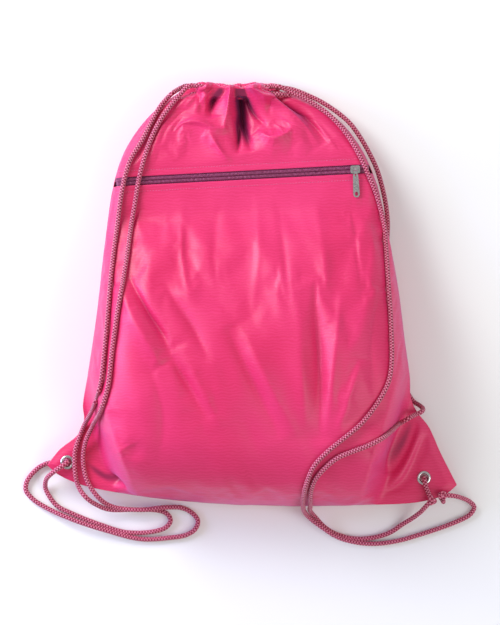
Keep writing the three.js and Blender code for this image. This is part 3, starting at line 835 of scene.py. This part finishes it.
def make_yoke_panel():
    """The cloth above the zip, gathered towards the neck, where it makes the front of the sleeve."""
    columns, rows = 220, 74
    flat, across, up = panel_grid(yoke_bottom, above_all, columns, rows, evenly)
    x, y = flat[..., 0], flat[..., 1]
    above = across_zip(x, y)
    calm = smoothstep(above, 7, 24) * smoothstep(from_seam(x, y), 0, 9)
    gather = pleats(across)[:, None] * smoothstep(up, 0.45, 1.0)[None, :] * 0.8
    amount = (folds(x, y) + 0.5 * small_creases(x, y) + gather) * calm - stitch_groove(above)
    points = sculpt(np.dstack([x, y, neck_height(x, y, front_height(x, y))]), amount)
    inside = in_sleeve(x) * smoothstep(y, 181, 186)
    room = SLEEVE_ROOM - 3.0 * (1 - inside)
    points[..., 2] += np.maximum(room - points[..., 2], 0) * inside
    obj = sheet_object("yoke_panel_cloth", points, grid_faces(columns, rows), flat)
    # painted shade for the neck's deepest folds, stored for the material to darken the colour there
    store(obj, "painted_shade", 0.9 * painted_fold_shade(x, y) * calm)
    free = smoothstep(above, 8, 32) * (1 - smoothstep(y, 158, 182))
    crumple(obj, edge_pins(columns, rows), free.ravel(), expand=0.018, pressure=0.25, cap=2.6)
    return obj, points[:, -1]


def make_back_panel():
    columns, rows = 110, 120
    flat, across, up = panel_grid(below_all, above_all, columns, rows, edges_close)
    x, y = flat[..., 0], flat[..., 1]
    height = back_height(x, y)
    edge = from_seam(x, y)
    gather = pleats(1 - across)[:, None] * smoothstep(up, 0.8, 1.0)[None, :]
    lifted = smoothstep(height, 0.5, 6)
    height -= (small_creases(x + 500, y) * 1.4 * lifted + gather) * smoothstep(edge, 0, 9)
    height = np.minimum(height, along(SEAM_HEIGHT, y) - SEAM_HALF_GAP - smoothstep(edge, 0, 5))
    height = np.maximum(height, 0.25 + 0.2 * value_noise(x, y, 20, 45, 12))
    points = np.dstack([x, y, height])
    faces = punch_eyelets(points, grid_faces(columns, rows, flip=True))
    return sheet_object("back_panel_cloth", points, faces, flat)


LINING_LEFT = [(-108, -150), (-126, -100), (-122, -16), (-120, 46), (-117, 104), (-114, 122)]
LINING_RIGHT = [(98, -158), (118, -100), (119, -30), (112, 48), (103, 104), (97, 131)]
LINING_BOTTOM = [(-108, -150), (-60, -164), (27, -170), (98, -158)]
LINING_DEPTH = 7.5


def make_lining():
    """The pocket's back wall, hanging from the zip behind the pocket panel."""
    size = 70
    left = smooth_line(LINING_LEFT, count=size)
    right = smooth_line(LINING_RIGHT, count=size)
    bottom = smooth_line(LINING_BOTTOM, count=size)
    share = np.linspace(0, 1, size)
    top = left[-1] + (right[-1] - left[-1]) * share[:, None]
    flat = fill_between(left, right, bottom, top, share, share)
    x, y = flat[..., 0], flat[..., 1]
    calm = smoothstep(-across_zip(x, y), 8, 40)
    amount = np.minimum(folds(x, y), 0) * calm - LINING_DEPTH
    points = sculpt(np.dstack([x, y, front_height(x, y)]), amount)
    return sheet_object("pocket_lining_cloth", points, grid_faces(size, size), flat)


pocket = make_pocket_panel()
yoke, neck_edge = make_yoke_panel()
back = make_back_panel()
lining = make_lining()


# ---- gathered neck channels
def squared(value, power=0.62):
    """A sine or cosine with its round squared off."""
    return np.sign(value) * np.abs(value) ** power


def make_back_channel(name):
    """The back's hem sleeve: a flattened tube along X, pleated, with open ends."""
    columns, sides = 120, 48
    u = np.linspace(0, 1, columns)
    x = NECK_ENDS[0] + (NECK_ENDS[1] - NECK_ENDS[0]) * u
    angle = np.linspace(0, 2 * math.pi, sides + 1)
    lumps = 1.1 * np.sin(2 * math.pi * (1.6 * u + 0.05)) + 0.7 * np.sin(2 * math.pi * 4.3 * u)
    swell = 0.62 * pleats(1 - u) + 0.4 * np.sin(2 * math.pi * 31 * u)
    half_y = (8.6 + 0.5 * lumps + 0.35 * swell)[:, None]
    half_z = (6.4 + 0.5 * swell)[:, None]
    y = NECK_Y + 0.5 + 0.3 * lumps[:, None] + half_y * squared(np.cos(angle))
    z = np.maximum(BACK_SLEEVE_LEVEL + half_z * squared(np.sin(angle)), 0.6)
    points = np.dstack([np.repeat(x[:, None], sides + 1, 1), y, z])
    return new_object(name, points.reshape(-1, 3), grid_faces(columns, sides + 1, flip=True))


# the hem's scallops between the neck folds: place along X, half width, how far out or in
SCALLOPS = ((-41, 9, 2.0), (7, 7, 2.4), (-30, 2.6, -2.2), (-9.5, 2.6, -2.6), (-23.5, 1.4, -1.6),
            (13, 1.6, -1.6))
HEM_LEVEL = 23.2
HEM_END_Y = 185


def make_front_channel(name, edge):
    """The hem's turned-in part: from the gathered edge over the top of the cords and down inside."""
    x = edge[:, 0]
    inside = in_sleeve(x)
    scallop = sum(size * bell(x, middle, width) for middle, width, size in SCALLOPS)
    reach = (3.6 + scallop) * inside + 1.2 * (1 - inside)
    drop = edge[:, 2] - HEM_LEVEL
    rows = [edge]
    for angle in np.linspace(0, math.pi, 15)[1:]:
        y = edge[:, 1] + reach * math.sin(angle) ** 0.8
        rows.append(np.column_stack([x, y, HEM_LEVEL + drop * (0.5 + 0.5 * math.cos(angle))]))
    turned = rows[-1]
    for share in np.arange(1, 9) / 8:
        y = turned[:, 1] + (HEM_END_Y - turned[:, 1]) * share
        rows.append(np.column_stack([x, y, turned[:, 2] - 0.9 * math.sin(math.pi * share) * inside]))
    points = np.stack(rows, axis=1)
    return new_object(name, points.reshape(-1, 3), grid_faces(len(x), len(rows)))


channel_front = make_front_channel("channel_front_cloth", neck_edge)
channel_back = make_back_channel("channel_back_cloth")
PANELS = ((pocket, polyester, "polyester", "pocket_panel"), (yoke, polyester, "polyester", "yoke_panel"),
          (back, polyester, "polyester", "back_panel"), (lining, lining_cloth, "lining", "pocket_lining"),
          (channel_front, polyester, "polyester", "channel_front"),
          (channel_back, polyester, "polyester", "channel_back"))
for panel, material, slot, node in PANELS:
    modifier(panel, "SUBSURF", levels=1, render_levels=1)
    modifier(panel, "SOLIDIFY", thickness=CLOTH * MM, offset=-1.0)
    apply_modifiers(panel)
    finish_piece(panel, material, node)

# ---- cords
CORD_LIFT = 0.35
CORD_SIDES = 18
CORD_STEP = 1.1
RELIEF = 0.07

# routes: points with a height are free, the others rest on the cloth
CORD_LEFT = [
    (-175.7, -160.1, 8.6), (-175.7, -160.1, 11), (-175.7, -160.1, 15), (-176, -160.3, 20),
    (-179.6, -163, 22.6), (-186, -167.2, 21.5), (-191.6, -171.6, 18), (-196.4, -177, 9.5),
    (-197.6, -185.5, 3.4), (-193, -195, 2.3), (-186, -203, 2.3), (-173, -209.7, 2.3), (-146, -220.4, 2.3),
    (-120, -228, 2.3), (-94, -227.2, 2.3), (-82, -223, 2.3), (-78, -217, 2.3), (-81, -210.5, 2.3),
    (-90, -207, 2.3), (-113, -206.2, 5), (-137, -205.6, 8.5), (-149, -200.5, 14), (-158.5, -193, 20),
    (-165.5, -183), (-168.2, -170), (-168.8, -160), (-168, -148), (-160.5, -127), (-149.5, -107),
    (-141.6, -84), (-138, -54), (-135, -20), (-132.6, 13), (-130, 41), (-127, 65), (-124, 89), (-120, 110),
    (-114.5, 127), (-104.5, 144), (-96, 161, 36), (-87, 177.6, 32), (-74.4, 191.6, 24), (-62, 198.6, 13.6),
    (-53, 197, 12.1), (-44, 196, 12.2), (13, 190, 12.1), (21, 189.5, 12), (28, 189.3, 12.4),
    (33.4, 189.2, 16.6), (35.4, 189.2, 21.6), (33.4, 189.2, 26.6), (28, 189.3, 30.8), (13, 190, 31),
    (-44, 196, 31), (-53, 197.4, 31.2), (-60, 197, 32.5), (-68, 189, 34), (-79, 175.4, 37), (-88.5, 161),
    (-96.3, 144), (-102.5, 125), (-107, 107), (-110, 88), (-114, 64), (-116.5, 42), (-120.5, 13),
    (-126, -21), (-130.5, -54), (-134.4, -87), (-141, -108), (-151, -125, 34), (-158.5, -142, 23.5),
    (-160.6, -159), (-157, -177), (-147, -193, 18), (-133.5, -203, 9), (-107, -206, 9.6), (-85, -204, 7.2),
    (-67, -204.6, 3.2), (-57, -209.7, 2.3), (-51.8, -217, 2.3), (-54.5, -225, 2.3), (-63, -230.5, 2.3),
    (-77, -233, 2.3), (-106, -234.4, 2.3), (-138, -226.4, 5.4), (-170, -216, 7.0), (-198, -203.8, 3),
    (-211, -195, 2.3), (-216.4, -187.4, 2.3), (-214.8, -178, 2.3), (-204, -166, 2.3), (-194, -161.5, 3),
    (-182, -160.2, 4)]
CORD_RIGHT = [
    (168.6, -198.6, 22.6), (165.9, -201.5, 21), (160.5, -208, 14.5), (152, -215, 7.6), (143, -220.8, 3.6),
    (133, -227.8, 2.3), (119.5, -232.4, 2.3), (106, -234.2, 2.3), (93, -233.4, 2.3), (80, -229.4, 2.3),
    (69.5, -222.8, 5.4), (60, -212.6, 8.6), (55.6, -207, 16), (55.2, -200.6, 39), (55, -193, 58),
    (55.4, -184), (59, -173.6), (69, -161.6), (80, -152.6), (93, -147), (106.4, -142), (120, -135.6),
    (132, -128), (140, -123), (147, -118.6, 34), (155, -114.6, 25), (160.5, -112.4, 23), (163, -109.4, 15),
    (159.6, -106, 7), (154.4, -102.6, 3.4), (149, -94, 2.3), (144, -76, 2.3), (139, -46, 2.3),
    (133, -10, 2.3), (129.4, 28, 3), (129.2, 50, 5.8), (129.4, 68, 13), (127.6, 84, 18.4), (124, 101, 21),
    (118.6, 119, 21.6), (111.6, 134, 21), (103, 149, 20.4), (93.6, 162, 19.4), (82.5, 172, 18),
    (67, 182.6, 15.4), (52.5, 190, 11.4), (38, 195.6, 8.6), (26, 197.4, 7.4), (18, 197, 7.4),
    (-44, 190, 7.4), (-56, 189.4, 7.6), (-62.2, 189.2, 11.8), (-64.2, 189.2, 16.6), (-62.2, 189.2, 21.4),
    (-56, 189.4, 25.6), (-44, 190, 25.8), (18, 197, 25.8), (26, 196.6, 27), (37, 191.5, 29),
    (50, 185.4, 31), (63.5, 177), (77, 166), (89, 152), (97.6, 138), (104.4, 125), (110, 112),
    (116.6, 96.5), (121.6, 80), (125, 64), (126.2, 46), (128, 10), (130, -26), (130.4, -64), (127, -83),
    (116.4, -102.6), (101.5, -121), (86.6, -133.6), (71, -146.4, 88), (57.6, -161, 82), (51, -177.4),
    (48.4, -190), (48.2, -200.2, 41), (50.4, -208, 19), (55, -213.6, 12), (66, -222, 10.2),
    (82.6, -232.6, 5), (101.4, -237.8, 3), (120, -238.8, 2.3), (140, -236, 2.3), (160, -230.4, 2.3),
    (193, -219, 2.3), (208.6, -211, 2.3), (212.6, -204, 3.4), (208, -198.4, 8), (200, -194.4, 14.6),
    (193, -192.2, 20.6), (187.2, -191.5, 22.8), (184, -191.3, 23.2)]
EYELET_LOOP = [
    (181.8, -195.4, 20.6), (182.2, -197.8, 18), (182, -197, 13.4), (179, -192.6, 9), (174, -186.4, 7),
    (168.6, -179.4, 6.6), (164.8, -175.8, 9), (163.6, -175, 13), (163.6, -175, 17), (163.8, -175.8, 21),
    (164.6, -179.6, 23.2), (166, -185, 22.6), (168.4, -190.2, 22.6), (169.8, -193.6, 23)]


def cloth_trees():
    """Search trees over the finished front cloth, to lay the cords and stitches on it."""
    trees = []
    for piece in (pocket, yoke):
        points = [tuple(v.co) for v in piece.data.vertices]
        faces = [tuple(p.vertices) for p in piece.data.polygons]
        trees.append(BVHTree.FromPolygons(points, faces))
    return trees


trees = cloth_trees()


def cloth_below(x, y):
    """The highest place and normal of the cloth at X and Y, or None where there is none."""
    hits = [tree.ray_cast(Vector((x * MM, y * MM, 0.3)), Vector((0, 0, -1))) for tree in trees]
    hits = [hit for hit in hits if hit[0] is not None]
    return max(hits, key=lambda hit: hit[0].z) if hits else None


def surface_heights(x, y):
    """Height of the cloth under each place, taking the highest within a cord's width."""
    best = front_height(x, y) - 2.0
    reach = 0.35 * CORD
    for dx, dy in ((0, 0), (reach, 0), (-reach, 0), (0, reach), (0, -reach)):
        drop = 0.15 * CORD if (dx or dy) else 0.0
        for i in range(len(x)):
            hit = cloth_below(x[i] + dx, y[i] + dy)
            if hit:
                best[i] = max(best[i], hit[0].z / MM - drop)
    return best


def lay(route):
    """The cord's centre line: free points as given, the others resting on the cloth."""
    places = np.array([p[:2] for p in route], float)
    resting = surface_heights(places[:, 0], places[:, 1]) + 0.5 * CORD + CORD_LIFT
    return [(*p, rest) if len(p) == 2 else p for p, rest in zip(route, resting)]


def settle(line):
    """Keeps the centre line on top of the cloth wherever it runs over it, then evens its height."""
    level = surface_heights(line[:, 0], line[:, 1])
    out = line.copy()
    over = (line[:, 2] > level - 3) & (line[:, 2] > 20)
    out[over, 2] = np.maximum(line[over, 2], level[over] + 0.5 * CORD + 0.15)
    kernel = np.array([1, 2, 3, 4, 3, 2, 1]) / 16
    padded = np.pad(out[:, 2], 3, mode="edge")
    out[:, 2] = np.convolve(padded, kernel, mode="valid")
    return out


def frames_along(line):
    """Directions that turn as little as possible along a line."""
    tangent = np.gradient(line, axis=0)
    tangent /= np.linalg.norm(tangent, axis=1, keepdims=True)
    side = np.zeros_like(line)
    start = np.cross(tangent[0], (0.3, 0.5, 0.81))
    side[0] = start / np.linalg.norm(start)
    for i in range(1, len(line)):
        s = side[i - 1] - tangent[i] * np.dot(side[i - 1], tangent[i])
        side[i] = s / np.linalg.norm(s)
    return tangent, side, np.cross(tangent, side)


def braid_relief(angle, run):
    """Crossed strands that stand out of the cord's surface; run is in cord diameters."""
    turn = 2 * math.pi * 1.35 * run
    return RELIEF * np.sin(4 * angle + turn) * np.sin(4 * angle - turn)


def tube(name, line, radius, sides=CORD_SIDES, relief=None):
    """A round rope along a line in millimetres, with UVs for the braid and closed ends."""
    _, side, up = frames_along(line)
    run = distances(line) / (2 * radius)
    angle = np.linspace(0, 2 * math.pi, sides + 1)
    r = radius * np.ones((len(line), sides + 1))
    if relief is not None:
        r += relief(angle[None, :], run[:, None])
    ring = side[:, None] * np.cos(angle)[None, :, None] + up[:, None] * np.sin(angle)[None, :, None]
    points = (line[:, None] + ring * r[..., None]).reshape(-1, 3)
    uv = np.dstack(np.broadcast_arrays(angle[None, :] / (2 * math.pi), run[:, None])).reshape(-1, 2)
    faces = grid_faces(len(line), sides + 1, flip=True).tolist()
    start_middle = len(points)
    end_middle = start_middle + 1
    end_ring = (len(line) - 1) * (sides + 1)
    for k in range(sides):
        faces.append([start_middle, k + 1, k])
        faces.append([end_middle, end_ring + k, end_ring + k + 1])
    vertices = np.vstack([points, line[0], line[-1]])
    return new_object(name, vertices, faces, np.vstack([uv, [0.5, 0], [0.5, run[-1]]]))


def make_cord(name, route, node):
    """A braided cord along a route; returns it with its centre line."""
    line = settle(smooth_line(lay(route), step=CORD_STEP))
    line = resample(line, step=CORD_STEP)
    obj = tube(name, line, 0.5 * CORD - 0.03, relief=braid_relief)
    return finish_piece(obj, cord_cloth, node), line


def overhand_knot(name, centre, size, node, turn, tilt):
    """A tight overhand knot: a trefoil line of the same cord, turned about Z and tilted."""
    phi = 2 * math.pi * np.linspace(0.0, 1.0, 150)
    trefoil = np.column_stack([
        np.sin(phi) + 2 * np.sin(2 * phi), np.cos(phi) - 2 * np.cos(2 * phi), -1.35 * np.sin(3 * phi)])
    spin = np.array([[math.cos(turn), -math.sin(turn), 0], [math.sin(turn), math.cos(turn), 0], [0, 0, 1]])
    lean = np.array([[1, 0, 0], [0, math.cos(tilt), -math.sin(tilt)], [0, math.sin(tilt), math.cos(tilt)]])
    line = trefoil * (size / 4.6) @ lean.T @ spin.T + np.array(centre)
    obj = tube(name, resample(line, step=0.8), 0.5 * CORD - 0.1, sides=14, relief=braid_relief)
    modifier(obj, "SUBSURF", levels=1, render_levels=1)
    apply_modifiers(obj)
    return finish_piece(obj, cord_cloth, node)


cord_left, cord_left_path = make_cord("cord_left_braid", CORD_LEFT, "cord_left")
cord_right, cord_right_path = make_cord("cord_right_braid", CORD_RIGHT, "cord_right")
loop, loop_path = make_cord("eyelet_loop_braid", EYELET_LOOP, "eyelet_loop_right")
knot_left = overhand_knot("knot_left_braid", (-175.7, -160.1, 5.9), 5.2, "knot_left", 0.6, 0.2)
knot_inner = overhand_knot("knot_inner_braid", (171, -196.6, 23.4), 4.4, "knot_right_inner", 1.3, 0.3)
knot_outer = overhand_knot("knot_outer_braid", (181, -191.4, 23.6), 4.3, "knot_right_outer", 2.6, -0.2)


# ---- zip
def zip_point(s, across, depth):
    """Points at a distance along the zip, a distance across it and a depth out of its curved face."""
    s, across, depth = np.broadcast_arrays(np.asarray(s, float), across, depth)
    base = np.linspace(*ZIP_ENDS, 640)
    level = front_height(*beside_zip(base, 0))
    lean = np.interp(s, base, np.arctan2(np.gradient(level), np.gradient(base)))
    x, y = beside_zip(s - depth * np.sin(lean), across)
    return np.stack([x, y, np.interp(s, base, level) + depth * np.cos(lean)], axis=-1)


def make_tape(name, side, node):
    columns, rows = 270, 8
    s = np.linspace(*ZIP_ENDS, columns)
    across = side * np.linspace(TAPE["inner"], TAPE["outer"], rows)
    depth = -TAPE["depth"] + 0.1 * value_noise(s, s * 0, 9, 9, 5)
    points = zip_point(s[:, None], across[None, :], depth[:, None])
    obj = new_object(name, points.reshape(-1, 3), grid_faces(columns, rows, flip=side < 0))
    modifier(obj, "SOLIDIFY", thickness=TAPE["thickness"] * MM, offset=-1.0)
    apply_modifiers(obj)
    return finish_piece(obj, tape_cloth, node)


COIL_PITCH = 1.25
COIL_TURN_POINTS = 12


def make_coil(name, side, node):
    """A continuous spiral of monofilament, one turn to each tooth."""
    turns = int(2 * COIL_HALF_LENGTH / COIL_PITCH)
    t = np.linspace(0, turns, turns * COIL_TURN_POINTS + 1)
    angle = 2 * math.pi * t + (0 if side > 0 else math.pi)
    across = side * (1.65 + 1.3 * np.cos(angle))
    depth = -0.55 + 0.75 * np.sin(angle)
    line = zip_point(COIL_PITCH * t - COIL_HALF_LENGTH, across, depth)
    return finish_piece(tube(name, line, 0.36, sides=6), coil_nylon, node)


tape_upper = make_tape("zip_tape_upper_cloth", 1, "zip_tape_upper")
tape_lower = make_tape("zip_tape_lower_cloth", -1, "zip_tape_lower")
make_coil("zip_coil_upper_spiral", 1, "zip_coil_upper")
make_coil("zip_coil_lower_spiral", -1, "zip_coil_lower")


# ---- stitching
STITCH = {"pitch": 2.6, "length": 1.8, "radius": 0.28, "sides": 6}
STITCH_PROFILE = ((-0.5, 0.1), (-0.42, 0.75), (-0.2, 1.0), (0.2, 1.0), (0.42, 0.75), (0.5, 0.1))


def on_cloth(x, y):
    """Points and normals of the finished cloth at places seen from the front, where there is cloth."""
    hits = [hit for hit in map(cloth_below, x, y) if hit]
    return np.array([hit[0] for hit in hits]) / MM, np.array([hit[1] for hit in hits])


def unit(vector):
    return vector / np.linalg.norm(vector)


def at_run(line, run, place):
    """The line's value at a distance along it."""
    return np.array([np.interp(place, run, column) for column in line.T])


def one_stitch(centre, forward, normal):
    """A short length of thread that dips into the cloth at both ends; vertices by side, then along it."""
    across = unit(np.cross(normal, forward))
    rise = np.cross(forward, across)
    angle = np.linspace(0, 2 * math.pi, STITCH["sides"], endpoint=False)
    ring = np.cos(angle)[:, None] * across + np.sin(angle)[:, None] * rise
    rows = []
    for place, size in STITCH_PROFILE:
        core = centre + forward * place * STITCH["length"] + rise * (0.12 - 0.25 * (2 * place) ** 2)
        rows.append(core + STITCH["radius"] * size * ring)
    return np.stack(rows, axis=1).reshape(-1, 3)


def stitch_row(name, across, low, high):
    """A row of stitches lying on the cloth beside the zip."""
    line, normals = on_cloth(*beside_zip(np.linspace(low, high, 200), across))
    run = distances(line)
    vertices, faces = [], []
    one = grid_faces(STITCH["sides"], len(STITCH_PROFILE), wrap=True)
    for k in range(int(run[-1] / STITCH["pitch"])):
        middle = (k + 0.5) * STITCH["pitch"]
        before = at_run(line, run, middle - 0.5)
        after = at_run(line, run, middle + 0.5)
        normal = at_run(normals, run, middle)
        faces.extend((one + len(vertices)).tolist())
        vertices.extend(one_stitch(0.5 * (before + after), unit(after - before), normal))
    return finish_piece(new_object(name, vertices, faces), thread)


stitch_row("topstitch_above_zip", ZIP_BAND + HEM_SEAM, -116, 121)
stitch_row("topstitch_below_zip", -ZIP_BAND - HEM_SEAM, -118, 122)


# ---- eyelets and washers
def lathe(name, centre, profile, sides=64):
    """A ring turned from a closed profile of (radius, height) about an upright line."""
    angle = np.linspace(0, 2 * math.pi, sides, endpoint=False)[:, None]
    r, z = np.array(profile, float).T
    points = np.stack([centre[0] + np.cos(angle) * r, centre[1] + np.sin(angle) * r,
                       np.broadcast_to(EYELET_LEVEL + z, (sides, len(r)))], axis=-1)
    return new_object(name, points.reshape(-1, 3), grid_faces(sides, len(r), wrap=True))


def rounded_profile(points, radius=0.22):
    """The profile with each corner softened by two extra points."""
    p = np.array(points, float)
    out = [p[0]]
    for before, here, after in zip(p[:-2], p[1:-1], p[2:]):
        for toward in (before, after):
            gap = toward - here
            out.append(here + gap * min(0.4, radius / np.linalg.norm(gap)))
    out.append(p[-1])
    return out


EYELET_PROFILE = [
    (3.8, -4.2), (5.7, -4.2), (5.7, -3.6), (4.4, -3.6), (4.4, 2.5), (6.7, 2.5), (6.7, 2.9), (6.2, 3.4),
    (5.3, 3.7), (4.3, 3.5), (3.8, 2.9), (3.8, -4.2)]
WASHER_PROFILE = [(4.7, -3.3), (6.7, -3.3), (6.7, -2.8), (6.2, -2.5), (4.7, -2.5), (4.7, -3.3)]
for side, centre in EYELETS.items():
    for node, profile in ((f"eyelet_{side}", EYELET_PROFILE), (f"eyelet_washer_{side}", WASHER_PROFILE)):
        finish_piece(lathe(f"{node}_metal", centre, rounded_profile(profile)), nickel, node)

for name in ("zip_slider", "zip_pull"):
    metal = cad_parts[name]
    metal.data.materials.clear()
    metal.data.materials.append(nickel)
    bevel = modifier(metal, "BEVEL", width=0.22 * MM, segments=2, limit_method="ANGLE")
    bevel.angle_limit = math.radians(40)


# ---- corner patches inside the eyelets
PATCH_LEFT = [(-188, -162), (-174, -148), (-164, -158), (-168, -174), (-180, -169)]
PATCH_RIGHT = [(178, -182), (166, -160), (152, -166), (154, -188), (170, -188)]
PATCH_THICKNESS = 0.6


def make_patch(name, corners, hole, node):
    """A doubled scrap of cloth that the eyelet grips, with rounded corners and a slight waver."""
    outline = smooth_line(corners + corners[:1], count=61)[:-1]
    angle = np.arctan2(outline[:, 1] - hole[1], outline[:, 0] - hole[0])
    inner = np.array(hole) + EYELET_CUT * np.column_stack([np.cos(angle), np.sin(angle)])
    rings = [inner * (1 - share) + outline * share for share in np.linspace(0.0, 1.0, 7)]
    grid = np.stack(rings, axis=1)
    level = EYELET_LEVEL + 0.25 * value_noise(grid[..., 0], grid[..., 1], 7, 7, 21)
    points = np.dstack([grid, level]).reshape(-1, 3)
    obj = new_object(name, points, grid_faces(len(outline), len(rings), wrap=True))
    modifier(obj, "SOLIDIFY", thickness=PATCH_THICKNESS * MM, offset=0.0)
    apply_modifiers(obj)
    return finish_piece(obj, lining_cloth, node)


patch_left = make_patch("patch_left_cloth", PATCH_LEFT, EYELETS["left"], "corner_patch_left")
patch_right = make_patch("patch_right_cloth", PATCH_RIGHT, EYELETS["right"], "corner_patch_right")
